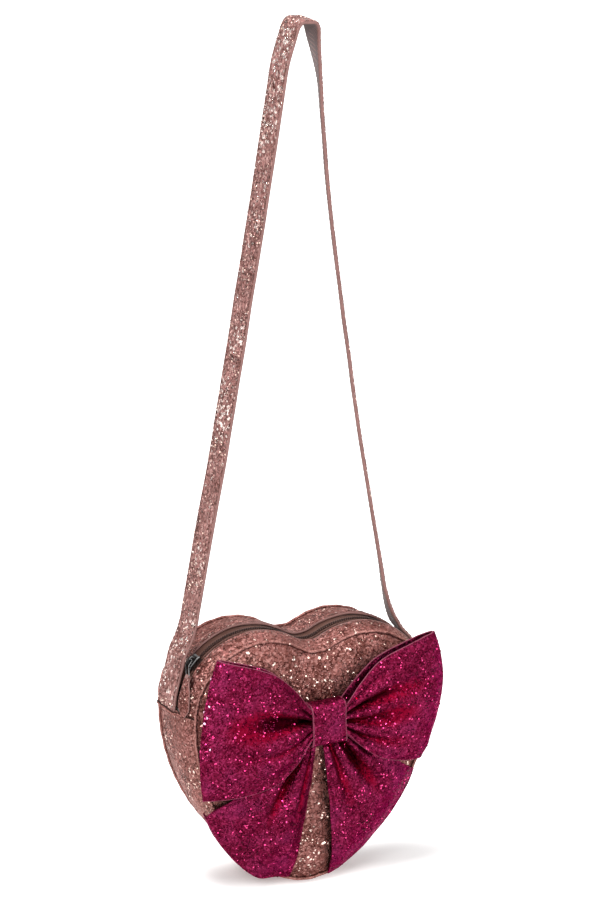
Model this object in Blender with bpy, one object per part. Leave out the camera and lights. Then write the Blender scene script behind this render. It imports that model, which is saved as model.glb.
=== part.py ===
"""Heart-shaped shoulder bag with a sewn bow, a zip over the top and a fixed strap.

Metres, +Z up. The bow faces -Y. The origin is on the underside of the strap's top,
where it rests on a shoulder or a hook.
"""
import math

import bmesh
import bpy
from mathutils import Vector

MM = 0.001
SMOOTH_ANGLE = math.radians(40.0)

# Heart outline along the seams, about the level of the lobe centres
LOBE_RADIUS = 48.5 * MM
LOBE_OFFSET = 36.5 * MM
CLEFT_RADIUS = 23.0 * MM
FLANK_RADIUS = 135.0 * MM
TIP_RADIUS = 44.0 * MM
TIP_DROP = 75.0 * MM

# How many straight runs stand for each arc of the outline
LOBE_TOP_RUNS = 12
CLEFT_RUNS = 2
LOBE_SIDE_RUNS = 3
FLANK_RUNS = 4
TIP_RUNS = 2

# Depth of the body and the puff of its walls
BODY_DEPTH = 58.0 * MM
GUSSET_CROWN = 4.5 * MM
FRONT_PUFF = 7.0 * MM
BACK_PUFF = 4.0 * MM
PUFF_SHOULDER = 4.5 * MM
PUFF_SHOULDER_SHARE = 0.46
PUFF_SLOPE = 13.5 * MM
PUFF_SLOPE_SHARE = 0.84
PUFF_FLAT = 26.5 * MM

# Cloth layers and the gap kept between pieces
GAP = 0.3 * MM
SHELL = 1.2 * MM
FOAM = 2.0 * MM
LINING = 0.8 * MM
PIPING_RADIUS = 1.05 * MM
PIPING_SIDES = 6
PANEL_INSET = 1.5 * MM
FOAM_INSET = 3.0 * MM
LINING_INSET = 4.2 * MM
GUSSET_EDGE = 1.4 * MM
INNER_EDGE = 5.6 * MM
LINING_EDGE = 6.6 * MM

# Zip
ZIP_Y = -6.5 * MM
ZIP_SLIT = 1.6 * MM
COIL_WIDTH = 1.6 * MM
COIL_HEIGHT = 1.7 * MM
TAPE = 0.7 * MM
TAPE_WIDTH = 9.6 * MM
TAPE_LEVEL = 1.85 * MM
TAPE_SHOWN = 5.7 * MM
TAPE_END = 5.0 * MM
ZIP_LINING_CLEAR = 5.0 * MM

# Slider, bridge, link and tab; angles are about the left lobe's centre, from +X towards +Z
SLIDER_ANGLE = math.radians(142.0)
SLIDER_LENGTH = 9.0 * MM
SLIDER_WIDTH = 7.6 * MM
SLIDER_PLATE = 1.3 * MM
SLIDER_FLANGE = 0.7 * MM
SLIDER_POST = 0.9 * MM
SLIDER_PLAY = 0.6 * MM
SLIDER_BASE = 1.0 * MM
SLIDER_BASE_WIDTH = 6.0 * MM
SLIDER_BASE_PLAY = 0.4 * MM
SLIDER_RUNS = 4
BRIDGE_LENGTH = 4.6 * MM
BRIDGE_WIDTH = 1.8 * MM
BRIDGE_RISE = 3.0 * MM
BRIDGE_WALL = 0.8 * MM
LINK_WIRE = 0.6 * MM
LINK_WIDTH = 5.4 * MM
LINK_STRAIGHT = 3.6 * MM
LINK_DROP = 9.0 * MM
LINK_SIDES = 6
TAB_LENGTH = 22.0 * MM
TAB_WIDTH = 10.0 * MM
TAB_THICKNESS = 1.0 * MM
TAB_TIP_SHARE = 0.15
TAB_TIP_LENGTH = 5.0 * MM
TAB_SETTLE = 7.0 * MM
TAB_RUNS = 6
TAB_STRAP_CLEAR = 1.1 * MM
STOP_LENGTH = 3.0 * MM
STOP_WALL = 0.5 * MM
STOP_SET_BACK = 8.0 * MM

# Strap
STRAP_WIDTH = 25.0 * MM
STRAP_FACE = 1.3 * MM
STRAP_BACKING = 0.9 * MM
STRAP_Y = 3.5 * MM
STRAP_SEAT = 0.7 * MM
STRAP_RISE = 449.0 * MM
STRAP_LEAN = -16.0 * MM
STRAP_STEPS_PER_RUN = 2
STRAP_RUNS_ACROSS = 4
# Each row: height above the side seam as a share of the rise, the strap's middle as a share of the lean,
# its spread as a share of the half spread at the seam, and the share of the right leg's turn
STRAP_TURN = math.radians(24.0)
STRAP_RUN_SHARES = (
    (0.000, 0.00, 1.000, 0.00), (0.045, 0.00, 0.992, 0.00), (0.080, 0.00, 0.979, 0.08),
    (0.100, 0.12, 0.928, 0.22), (0.122, 0.30, 0.860, 0.42), (0.147, 0.44, 0.794, 0.66),
    (0.200, 0.45, 0.724, 0.94), (0.290, 0.53, 0.637, 1.00), (0.383, 0.62, 0.550, 1.00),
    (0.557, 0.78, 0.407, 1.00), (0.739, 0.91, 0.265, 1.00), (0.857, 0.94, 0.188, 1.00),
    (0.909, 0.95, 0.157, 0.92), (0.942, 0.97, 0.130, 0.65), (0.972, 0.95, 0.095, 0.30),
    (0.993, 0.92, 0.070, 0.05), (1.000, 0.91, 0.045, 0.00),
)

# Bow
BOW_Z = -4.0 * MM
BOW_TILT = math.radians(4.5)
BOW_CLOTH = 1.4 * MM
KNOT_WIDTH = 25.0 * MM
KNOT_HEIGHT = 28.0 * MM
KNOT_DEPTH = 15.0 * MM
KNOT_WALL = 1.6 * MM
KNOT_CORNER = 4.0 * MM
KNOT_CORNER_RUNS = 3
LOOP_REACH = 87.0 * MM
LOOP_HALF_LEFT = 46.5 * MM
LOOP_HALF_RIGHT = 42.0 * MM
LOOP_RISE_LEFT = 9.5 * MM
LOOP_RISE_RIGHT = 6.8 * MM
# How far each loop's outer fold leans out of straight: at its middle, its slope and its curve, as shares of the reach
LOOP_FOLD_START = 0.45
LOOP_FOLD_LEFT = (0.020, -0.080, -0.070)
LOOP_FOLD_RIGHT = (-0.025, 0.070, -0.125)
LOOP_BULGE = 8.0 * MM
LOOP_PLEAT = 3.5 * MM
LOOP_PLEATS = 3
LOOP_ROWS = 10
TAIL_TOP_HALF = 10.0 * MM
TAIL_TOP_DROP = 5.0 * MM
TAIL_SPLIT = 0.6 * MM
TAIL_CLEAR = 0.8 * MM
TAIL_FLAT_SHARE = 0.10
TAIL_SWELL_SHARE = 0.86
TAIL_INNER_ANGLE = math.radians(7.5)
TAIL_OUTER_LEFT = math.radians(50.5)
TAIL_OUTER_RIGHT = math.radians(58.5)
TAIL_PUFF = 8.0 * MM
TAIL_PLEAT = 2.4 * MM
TAIL_PLEATS = 3
TAIL_OVERHANG = 10.0 * MM
# Share of the overhang at each share of the way from a tail's inner edge to its outer edge
TAIL_OVERHANG_LEFT = ((0.00, -0.20), (0.10, 0.15), (0.24, 0.85), (0.40, 1.00), (0.80, 0.95), (1.00, 0.80))
TAIL_OVERHANG_RIGHT = ((0.00, 0.05), (0.50, 0.03), (0.80, 0.08), (1.00, 0.00))
TAIL_ROWS = 10
TAIL_COLUMNS = 12
# Plan of a loop from its front root round the outer fold to its back root: reach share, share of the
# way from the back of the knot's bore to its front, and share of the bulge ahead of the bore
LOOP_PLAN_SHARES = (
    (0.008, 1.00, 0.00), (0.150, 1.00, 0.00), (0.300, 1.00, 0.70), (0.500, 1.00, 1.00),
    (0.720, 1.00, 0.85), (0.900, 0.95, 0.35), (0.985, 0.80, 0.00), (1.000, 0.60, 0.00),
    (0.975, 0.44, 0.00), (0.850, 0.36, 0.00), (0.600, 0.32, 0.00), (0.320, 0.17, 0.00),
    (0.150, 0.00, 0.00), (0.008, 0.00, 0.00),
)
# Half height of a loop as a share of the full one, along its reach
LOOP_HEIGHT_SHARES = (
    (0.000, 0.205), (0.150, 0.205), (0.270, 0.510), (0.420, 0.760), (0.570, 0.880),
    (0.800, 0.965), (1.000, 1.000),
)

HALF_DEPTH = BODY_DEPTH / 2
CREST_Y = ZIP_Y
COIL_BASE = TAPE_LEVEL + GAP
COIL_TOP = COIL_BASE + COIL_HEIGHT
SLIDER_TOP = COIL_TOP + SLIDER_PLAY + SLIDER_PLATE
LINK_LEVEL = SLIDER_TOP + GAP + LINK_WIRE
STRAP_HALF_SPREAD = LOBE_OFFSET + LOBE_RADIUS + GUSSET_CROWN + STRAP_SEAT
FRONT_FACE = HALF_DEPTH + SHELL / 2 + FRONT_PUFF
KNOT_BACK = FRONT_FACE + TAIL_CLEAR + BOW_CLOTH + GAP
PIPING_FACE = HALF_DEPTH + GAP + PIPING_RADIUS


def clear_scene():
    for item in list(bpy.data.objects):
        bpy.data.objects.remove(item, do_unlink=True)


def material(name, colour, roughness, metallic):
    made = bpy.data.materials.new(name)
    made.use_nodes = True
    shader = made.node_tree.nodes["Principled BSDF"]
    shader.inputs["Base Color"].default_value = (*colour, 1.0)
    shader.inputs["Roughness"].default_value = roughness
    shader.inputs["Metallic"].default_value = metallic
    return made


def add_object(name, mesh_data, look, parent):
    mesh = bpy.data.meshes.new(name)
    mesh_data.normal_update()
    bmesh.ops.recalc_face_normals(mesh_data, faces=mesh_data.faces)
    mesh_data.to_mesh(mesh)
    mesh_data.free()
    mesh.shade_smooth()
    mesh.set_sharp_from_angle(angle=SMOOTH_ANGLE)
    mesh.materials.append(look)
    item = bpy.data.objects.new(name, mesh)
    bpy.context.scene.collection.objects.link(item)
    item.parent = parent
    return item


def add_empty(name, place, parent=None):
    item = bpy.data.objects.new(name, None)
    item.location = place
    item.parent = parent
    bpy.context.scene.collection.objects.link(item)
    return item


def angle_of(vector):
    return math.atan2(vector[1], vector[0])


def flank_centre():
    """Centre of the long flank arc, inside tangent to the lobe and tip arcs."""
    lobe = Vector((LOBE_OFFSET, 0.0))
    tip = Vector((0.0, -TIP_DROP))
    to_lobe = FLANK_RADIUS - LOBE_RADIUS
    to_tip = FLANK_RADIUS - TIP_RADIUS
    span = (lobe - tip).length
    along = (to_lobe ** 2 - to_tip ** 2 + span ** 2) / (2 * span)
    across = math.sqrt(to_lobe ** 2 - along ** 2)
    unit = (tip - lobe) / span
    normal = Vector((unit.y, -unit.x))
    return lobe + unit * along + normal * across


def right_stations():
    """Stations of the right half as (centre x, centre z, radius, side, angle), seam level first.

    The first list climbs from the side seam over the lobe to the cleft, the second
    goes down from the side seam to the tip. side is +1 where the arc is convex.
    """
    lobe = (LOBE_OFFSET, 0.0)
    cleft_height = math.sqrt((LOBE_RADIUS + CLEFT_RADIUS) ** 2 - LOBE_OFFSET ** 2)
    cleft_turn = angle_of((-LOBE_OFFSET, cleft_height))
    flank = flank_centre()
    flank_start = angle_of((LOBE_OFFSET - flank.x, -flank.y))
    flank_end = angle_of((-flank.x, -TIP_DROP - flank.y))
    top = []
    for step in range(LOBE_TOP_RUNS + 1):
        top.append((*lobe, LOBE_RADIUS, 1, cleft_turn * step / LOBE_TOP_RUNS))
    cleft_start = cleft_turn - math.pi
    for step in range(1, CLEFT_RUNS + 1):
        turn = cleft_start + (-math.pi / 2 - cleft_start) * step / CLEFT_RUNS
        top.append((0.0, cleft_height, CLEFT_RADIUS, -1, turn))
    low = []
    for step in range(LOBE_SIDE_RUNS):
        low.append((*lobe, LOBE_RADIUS, 1, flank_start * step / LOBE_SIDE_RUNS))
    for step in range(FLANK_RUNS):
        turn = flank_start + (flank_end - flank_start) * step / FLANK_RUNS
        low.append((flank.x, flank.y, FLANK_RADIUS, 1, turn))
    for step in range(TIP_RUNS + 1):
        turn = flank_end + (-math.pi / 2 - flank_end) * step / TIP_RUNS
        low.append((0.0, -TIP_DROP, TIP_RADIUS, 1, turn))
    return top, low


def mirrored(station):
    centre_x, centre_z, radius, side, turn = station
    return (-centre_x, centre_z, radius, side, math.pi - turn)


def top_stations():
    """From the right side seam over both lobes to the left side seam."""
    top, _ = right_stations()
    return top + [mirrored(station) for station in reversed(top[:-1])]


def low_stations():
    """From the right side seam round the tip to the left side seam."""
    _, low = right_stations()
    return low + [mirrored(station) for station in reversed(low[:-1])]


def whole_stations():
    return top_stations() + list(reversed(low_stations()))[1:-1]


def at(station, outward):
    centre_x, centre_z, radius, side, turn = station
    reach = radius + side * outward
    return centre_x + reach * math.cos(turn), centre_z + reach * math.sin(turn)


def crown_places():
    """Places in y where the gusset's section bends; its crest is on the zip's line."""
    edge = HALF_DEPTH - GUSSET_EDGE
    return (-edge, (CREST_Y - edge) / 2, CREST_Y, (CREST_Y + edge) / 2, edge)


def between(table, value):
    """Straight-line value of a table of (place, value) pairs, level beyond its ends."""
    if value <= table[0][0]:
        return table[0][1]
    for (near, low), (far, high) in zip(table, table[1:]):
        if value <= far:
            return low + (high - low) * (value - near) / (far - near)
    return table[-1][1]


def crown(y):
    """Height of the gusset's crown above the seams."""
    table = []
    for place in crown_places():
        edge = math.copysign(HALF_DEPTH - GUSSET_EDGE, place - CREST_Y)
        share = (place - CREST_Y) / (edge - CREST_Y)
        table.append((place, GUSSET_CROWN * (1 - share ** 2)))
    return between(table, y)


def pulled_back(stations, distance):
    """The same run of stations with both ends drawn in along the outline."""
    drawn = list(stations)
    for end, inner in ((0, 1), (-1, -2)):
        centre_x, centre_z, radius, side, turn = drawn[end]
        direction = 1 if stations[inner][4] > turn else -1
        drawn[end] = (centre_x, centre_z, radius, side, turn + direction * distance / radius)
    return drawn


def loft(name, rings, look, parent, closed=False):
    """Solid through rings of points, with an end cap at each end unless it closes on itself."""
    data = bmesh.new()
    rows = [[data.verts.new(point) for point in ring] for ring in rings]
    count = len(rows[0])
    pairs = list(zip(rows, rows[1:]))
    if closed:
        pairs.append((rows[-1], rows[0]))
    for first, second in pairs:
        for i in range(count):
            j = (i + 1) % count
            data.faces.new((first[i], first[j], second[j], second[i]))
    if not closed:
        data.faces.new(rows[0])
        data.faces.new(list(reversed(rows[-1])))
    return add_object(name, data, look, parent)


def band(name, stations, section, look, parent, closed=False):
    """Strip along the outline; the section is a closed list of (y, outward)."""
    rings = []
    for station in stations:
        ring = []
        for y, outward in section:
            x, z = at(station, outward)
            ring.append((x, y, z))
        rings.append(ring)
    return loft(name, rings, look, parent, closed)


def layer_section(places, level, thickness):
    """Crowned strip across the gusset at the given places in y."""
    outer = [(y, crown(y) + level) for y in places]
    inner = [(y, crown(y) + level - thickness) for y in reversed(places)]
    return outer + inner


def puff(inset, height):
    """How far a panel stands out at an inset from the seam."""
    knots = (
        (PANEL_INSET, 0.0),
        (PANEL_INSET + PUFF_SHOULDER, PUFF_SHOULDER_SHARE * height),
        (PANEL_INSET + PUFF_SLOPE, PUFF_SLOPE_SHARE * height),
        (PANEL_INSET + PUFF_FLAT, height),
    )
    return between(knots, inset)


def panel(name, facing, height, inset, level, thickness, look, parent):
    """Domed heart-shaped sheet; facing is -1 for the front and +1 for the back."""
    insets = [inset]
    for place in (PUFF_SHOULDER, PUFF_SLOPE, PUFF_FLAT):
        if PANEL_INSET + place > inset + GAP:
            insets.append(PANEL_INSET + place)
    rings = []
    stations = whole_stations()
    for depth, order in ((level, reversed(insets)), (level - thickness, insets)):
        for place in order:
            y = facing * (depth + puff(place, height))
            ring = []
            for station in stations:
                x, z = at(station, -place)
                ring.append((x, y, z))
            rings.append(ring)
    return loft(name, rings, look, parent)


def build_shell(looks, bag):
    shell = looks["shell"]
    level = HALF_DEPTH + SHELL / 2
    foam_level = level - SHELL - GAP
    lining_level = foam_level - FOAM - GAP
    for side, facing, height in (("front", -1, FRONT_PUFF), ("back", 1, BACK_PUFF)):
        panel(f"{side}_panel", facing, height, PANEL_INSET, level, SHELL, shell, bag)
        panel(f"{side}_foam", facing, height, FOAM_INSET, foam_level, FOAM, looks["foam"], bag)
        panel(f"lining_{side}", facing, height, LINING_INSET, lining_level, LINING, looks["lining"], bag)
        section = []
        for step in range(PIPING_SIDES):
            turn = math.tau * step / PIPING_SIDES
            y = facing * (HALF_DEPTH + GAP) + PIPING_RADIUS * math.cos(turn)
            section.append((y, GAP + PIPING_RADIUS * math.sin(turn)))
        band(f"{side}_piping", whole_stations(), section, looks["piping"], bag, closed=True)

    low = pulled_back(low_stations(), GAP)
    band("gusset_lower", low, layer_section(crown_places(), 0.0, SHELL), shell, bag)
    bends = crown_places()[1:-1]
    foam_edge = HALF_DEPTH - INNER_EDGE
    foam_top = -SHELL - GAP
    foam_places = (-foam_edge, *bends, foam_edge)
    band("gusset_foam", low, layer_section(foam_places, foam_top, FOAM), looks["foam"], bag)
    lining_edge = HALF_DEPTH - LINING_EDGE
    lining_top = foam_top - FOAM - GAP
    lining_places = (-lining_edge, *bends, lining_edge)
    band("lining_gusset", low, layer_section(lining_places, lining_top, LINING), looks["lining"], bag)


def build_zip(looks, bag):
    top = pulled_back(top_stations(), GAP)
    short = pulled_back(top_stations(), TAPE_END)
    bends = crown_places()
    slit = ZIP_SLIT / 2
    tape_base = TAPE_LEVEL - TAPE
    for side, facing in (("front", -1), ("back", 1)):
        edge = facing * (HALF_DEPTH - GUSSET_EDGE)
        bend = bends[1] if facing < 0 else bends[3]
        near = ZIP_Y + facing * slit
        coil_far = near + facing * COIL_WIDTH
        mouth = coil_far + facing * TAPE_SHOWN
        band(f"zip_gusset_{side}", top, layer_section((edge, bend, mouth), 0.0, SHELL), looks["shell"], bag)
        far = near + facing * TAPE_WIDTH
        tape = [(near, TAPE_LEVEL), (near, tape_base), (far, tape_base), (far, TAPE_LEVEL)]
        band(f"zip_tape_{side}", short, tape, looks["tape"], bag)
        coil = [(near, COIL_BASE), (near, COIL_TOP), (coil_far, COIL_TOP), (coil_far, COIL_BASE)]
        band(f"zip_coil_{side}", short, coil, looks["coil"], bag)
        hem = facing * (HALF_DEPTH - LINING_EDGE)
        hem_top = crown(hem) - SHELL - GAP
        lip = ZIP_Y + facing * ZIP_LINING_CLEAR
        lip_top = tape_base - GAP
        lining = [(hem, hem_top), (lip, lip_top), (lip, lip_top - LINING), (hem, hem_top - LINING)]
        band(f"lining_zip_{side}", top, lining, looks["lining"], bag)


def arc_stations(start, end, runs):
    """Stations on the left lobe's arc."""
    stations = []
    for step in range(runs + 1):
        stations.append((0.0, 0.0, LOBE_RADIUS, 1, start + (end - start) * step / runs))
    return stations


def build_stops(looks, bag):
    """Metal staples over the ends of the coils."""
    half = ZIP_SLIT / 2 + COIL_WIDTH + GAP
    top = COIL_TOP + GAP + STOP_WALL
    outer = half + STOP_WALL
    section = [
        (ZIP_Y - outer, COIL_BASE), (ZIP_Y - outer, top), (ZIP_Y + outer, top), (ZIP_Y + outer, COIL_BASE),
        (ZIP_Y + half, COIL_BASE), (ZIP_Y + half, COIL_TOP + GAP),
        (ZIP_Y - half, COIL_TOP + GAP), (ZIP_Y - half, COIL_BASE),
    ]
    start = (TAPE_END + STOP_SET_BACK) / LOBE_RADIUS
    turn = STOP_LENGTH / LOBE_RADIUS
    for name, flip in (("zip_stop_right", False), ("zip_stop_left", True)):
        stations = [(LOBE_OFFSET, 0.0, LOBE_RADIUS, 1, angle) for angle in (start, start + turn)]
        if flip:
            stations = [mirrored(station) for station in stations]
        band(name, stations, section, looks["metal"], bag)


def build_slider(looks, axis):
    """Slider body and bridge; their origin is the left lobe's centre, which the slider turns about."""
    half = SLIDER_WIDTH / 2
    inner = half - SLIDER_FLANGE
    post = SLIDER_POST / 2
    base = SLIDER_BASE_WIDTH / 2
    under = COIL_TOP + SLIDER_PLAY
    foot = TAPE_LEVEL + GAP
    base_top = TAPE_LEVEL - TAPE - SLIDER_BASE_PLAY
    base_low = base_top - SLIDER_BASE
    right = [
        (half, SLIDER_TOP), (half, foot), (inner, foot), (inner, under), (post, under),
        (post, base_top), (base, base_top), (base, base_low),
    ]
    section = [(ZIP_Y + y, level) for y, level in right]
    section += [(ZIP_Y - y, level) for y, level in reversed(right)]
    turn = SLIDER_LENGTH / 2 / LOBE_RADIUS
    run = arc_stations(SLIDER_ANGLE - turn, SLIDER_ANGLE + turn, SLIDER_RUNS)
    band("zip_slider", run, section, looks["metal"], axis)

    bridge_turn = BRIDGE_LENGTH / 2 / LOBE_RADIUS
    wall_turn = BRIDGE_WALL / LOBE_RADIUS
    seat = SLIDER_TOP + GAP
    roof = SLIDER_TOP + BRIDGE_RISE
    outline = []
    for turn, level in (
        (-bridge_turn, seat), (-bridge_turn, roof), (bridge_turn, roof), (bridge_turn, seat),
        (bridge_turn - wall_turn, seat), (bridge_turn - wall_turn, roof - BRIDGE_WALL),
        (-bridge_turn + wall_turn, roof - BRIDGE_WALL), (-bridge_turn + wall_turn, seat),
    ):
        outline.append(at((0.0, 0.0, LOBE_RADIUS, 1, SLIDER_ANGLE + turn), level))
    rings = []
    for y in (ZIP_Y - BRIDGE_WIDTH / 2, ZIP_Y + BRIDGE_WIDTH / 2):
        rings.append([(x, y, z) for x, z in outline])
    loft("zip_bridge", rings, looks["metal"], axis)


def tab_centre_y():
    """The tab hangs just in front of the strap's front edge."""
    return STRAP_Y - STRAP_WIDTH / 2 - TAB_STRAP_CLEAR - TAB_WIDTH / 2


def build_pull(looks, pivot):
    """Wire link and tab; their origin is the pin line inside the bridge, along Y."""
    pin_x, pin_z = at((0.0, 0.0, LOBE_RADIUS, 1, SLIDER_ANGLE), LINK_LEVEL)
    drop = LINK_DROP / LOBE_RADIUS
    half = LINK_WIDTH / 2 - LINK_WIRE
    far_y = tab_centre_y()
    straight = LINK_STRAIGHT / LOBE_RADIUS
    corners = []
    for turn, y in (
        (0.0, ZIP_Y + half), (0.0, ZIP_Y - half), (straight, ZIP_Y - half),
        (drop, far_y - half), (drop, far_y + half), (straight, ZIP_Y + half),
    ):
        x, z = at((0.0, 0.0, LOBE_RADIUS, 1, SLIDER_ANGLE + turn), LINK_LEVEL)
        corners.append(Vector((x - pin_x, y, z - pin_z)))
    rings = []
    normal = (corners[1] - corners[0]).cross(corners[3] - corners[0]).normalized()
    for index, corner in enumerate(corners):
        before = (corner - corners[index - 1]).normalized()
        after = (corners[(index + 1) % len(corners)] - corner).normalized()
        side = normal.cross((before + after).normalized()).normalized()
        ring = []
        for step in range(LINK_SIDES):
            angle = math.tau * step / LINK_SIDES
            ring.append(corner + LINK_WIRE * (normal * math.cos(angle) + side * math.sin(angle)))
        rings.append(ring)
    loft("zip_pull_loop", rings, looks["metal"], pivot, closed=True)

    bend = crown_places()[1]
    start = SLIDER_ANGLE + drop + (LINK_WIRE + GAP) / LOBE_RADIUS
    rings = []
    lengths = [TAB_LENGTH * step / TAB_RUNS for step in range(TAB_RUNS)]
    lengths += [TAB_LENGTH - TAB_TIP_LENGTH / 2, TAB_LENGTH]
    for length in lengths:
        station = (0.0, 0.0, LOBE_RADIUS, 1, start + length / LOBE_RADIUS)
        taper = max(0.0, length - TAB_LENGTH + TAB_TIP_LENGTH) / TAB_TIP_LENGTH
        reach = TAB_WIDTH / 2 * (1 - taper * (1 - TAB_TIP_SHARE))
        settle = min(1.0, length / TAB_SETTLE)
        ring = []
        places = (far_y - reach, max(far_y - reach, min(bend, far_y)), far_y + reach)
        edges = [(y, 0) for y in places] + [(y, 1) for y in reversed(places)]
        for y, layer in edges:
            rest = crown(y) + GAP
            high = LINK_LEVEL - TAB_THICKNESS / 2
            x, z = at(station, high + (rest - high) * settle + layer * TAB_THICKNESS)
            ring.append((x - pin_x, y, z - pin_z))
        rings.append(ring)
    loft("zip_pull_tab", rings, looks["shell"], pivot)


def strap_path():
    """Underside of the strap in x and z, from the left side seam over the top to the right one,
    and the turn of its width towards +X at each point."""
    points = [Vector(row) for row in STRAP_RUN_SHARES]
    half = []
    for index in range(len(points) - 1):
        first = points[max(index - 1, 0)]
        start, end = points[index], points[index + 1]
        last = points[min(index + 2, len(points) - 1)]
        for step in range(STRAP_STEPS_PER_RUN):
            t = step / STRAP_STEPS_PER_RUN
            half.append(0.5 * (
                2 * start + (end - first) * t + (2 * first - 5 * start + 4 * end - last) * t ** 2
                + (3 * start - first - 3 * end + last) * t ** 3
            ))
    half.append(points[-1])
    left = []
    right = []
    for height, lean, spread, turn in half:
        z = height * STRAP_RISE
        middle = STRAP_LEAN * lean
        left.append((Vector((middle - spread * STRAP_HALF_SPREAD, 0.0, z)), 0.0))
        right.append((Vector((middle + spread * STRAP_HALF_SPREAD, 0.0, z)), turn * STRAP_TURN))
    return left + list(reversed(right))


def ribbon(name, path, inner, outer, look, parent):
    """Flat strip along a path, between two distances outside it."""
    rings = []
    for index, (point, turn) in enumerate(path):
        along = (path[min(index + 1, len(path) - 1)][0] - path[max(index - 1, 0)][0]).normalized()
        across = Vector((math.sin(turn), math.cos(turn), 0.0))
        across = (across - along * across.dot(along)).normalized()
        normal = along.cross(across)
        middle = point + Vector((0.0, STRAP_Y, 0.0))
        low = middle + normal * inner
        high = middle + normal * outer
        reach = across * STRAP_WIDTH / 2
        shares = [2 * i / STRAP_RUNS_ACROSS - 1 for i in range(STRAP_RUNS_ACROSS + 1)]
        ring = [tuple(high + reach * share) for share in shares]
        rings.append(ring + [tuple(low + reach * share) for share in reversed(shares)])
    return loft(name, rings, look, parent)


def build_strap(looks, pivot):
    path = strap_path()
    ribbon("strap_backing", path, 0.0, STRAP_BACKING, looks["backing"], pivot)
    face = STRAP_BACKING + GAP
    ribbon("strap_face", path, face, face + STRAP_FACE, looks["shell"], pivot)


def build_knot(looks, bow):
    half_depth = KNOT_DEPTH / 2
    half_height = KNOT_HEIGHT / 2
    middle_y = -KNOT_BACK - half_depth
    rings = []
    for side_y, side_z, first in ((-1, 1, 90), (-1, -1, 180), (1, -1, 270), (1, 1, 0)):
        centre_y = side_y * (half_depth - KNOT_CORNER)
        centre_z = side_z * (half_height - KNOT_CORNER)
        for step in range(KNOT_CORNER_RUNS + 1):
            turn = math.radians(first) + math.pi / 2 * step / KNOT_CORNER_RUNS
            ring = []
            for side_x, radius in (
                (-1, KNOT_CORNER), (1, KNOT_CORNER), (1, KNOT_CORNER - KNOT_WALL), (-1, KNOT_CORNER - KNOT_WALL),
            ):
                y = middle_y + centre_y + radius * math.cos(turn)
                z = centre_z + radius * math.sin(turn)
                ring.append((side_x * KNOT_WIDTH / 2, y, z))
            rings.append(ring)
    loft("bow_knot", rings, looks["bow"], bow, closed=True)


def loop_point(reach_share, x, y, across, pleat_share, form):
    """Point of a loop; across runs from -1 at its lower edge to 1 at its upper edge."""
    half_height, rise, fold = form
    half = half_height * between(LOOP_HEIGHT_SHARES, reach_share)
    pleat = LOOP_PLEAT * pleat_share * math.cos(math.pi * LOOP_PLEATS * across)
    z = rise * reach_share + half * across
    lean = fold[0] + fold[1] * across + fold[2] * across ** 2
    outer = max(0.0, reach_share - LOOP_FOLD_START) / (1 - LOOP_FOLD_START)
    return x * (1 + lean * outer ** 2), y - pleat, z


def build_loop(name, facing, form, looks, bow):
    bore_back = KNOT_BACK + KNOT_WALL + GAP
    bore_front = KNOT_BACK + KNOT_DEPTH - KNOT_WALL - GAP
    plan = []
    for reach, way, bulge in LOOP_PLAN_SHARES:
        y = -(bore_back + (bore_front - bore_back) * way + LOOP_BULGE * bulge)
        plan.append((Vector((reach * LOOP_REACH, y)), reach, bulge))
    rings = []
    for index, (place, reach, bulge) in enumerate(plan):
        along = plan[min(index + 1, len(plan) - 1)][0] - plan[max(index - 1, 0)][0]
        inward = Vector((-along.y, along.x)).normalized() * BOW_CLOTH
        ring = []
        rows = [2 * step / LOOP_ROWS - 1 for step in range(LOOP_ROWS + 1)]
        for layer, order in ((0, rows), (1, reversed(rows))):
            spot = place + inward * layer
            for across in order:
                x, y, z = loop_point(reach, spot.x, spot.y, across, bulge, form)
                ring.append((facing * x, y, z))
        rings.append(ring)
    loft(name, rings, looks["bow"], bow)


def outline_reach(angle, overhang):
    """Distance from the knot to the body's outline, at an angle from straight down towards +X."""
    ray = Vector((math.sin(angle), -math.cos(angle)))
    origin = Vector((0.0, BOW_Z))
    _, low = right_stations()
    points = [Vector(at(station, overhang)) - origin for station in low]
    for first, second in zip(points, points[1:]):
        side_first = ray.x * first.y - ray.y * first.x
        side_second = ray.x * second.y - ray.y * second.x
        if side_first >= 0 >= side_second:
            share = side_first / (side_first - side_second)
            return (first + (second - first) * share).length
    return points[-1].length


def build_tail(name, facing, outer, overhang, looks, bag):
    """Pleated tail from behind the knot to the seam at the body's lower edge."""
    rings = []
    for row in range(TAIL_ROWS + 1):
        down = row / TAIL_ROWS
        front = []
        back = []
        for column in range(TAIL_COLUMNS + 1):
            across = column / TAIL_COLUMNS
            angle = TAIL_INNER_ANGLE + (outer - TAIL_INNER_ANGLE) * across
            rim = outline_reach(angle, 0.0)
            end = rim + TAIL_OVERHANG * between(overhang, across)
            top = Vector((TAIL_SPLIT + TAIL_TOP_HALF * across, -TAIL_TOP_DROP))
            bottom = Vector((math.sin(angle), -math.cos(angle))) * end
            place = top + (bottom - top) * down
            inset = max(0.0, rim - place.length)
            below = max(0.0, down - TAIL_FLAT_SHARE) / (1 - TAIL_FLAT_SHARE)
            spread = math.sin(math.pi * min(1.0, across / TAIL_SWELL_SHARE))
            swell = math.sin(math.pi * below) * spread
            pleat = TAIL_PLEAT * spread * math.cos(math.tau * TAIL_PLEATS * across) * below
            face = max(HALF_DEPTH + SHELL / 2 + puff(inset, FRONT_PUFF), PIPING_FACE)
            lift = max(0.0, TAIL_PUFF * swell + pleat)
            y = -(face + TAIL_CLEAR + lift)
            x = facing * place.x
            z = BOW_Z + place.y
            front.append((x, y - BOW_CLOTH, z))
            back.append((x, y, z))
        rings.append(front + list(reversed(back)))
    loft(name, rings, looks["bow"], bag)


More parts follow.
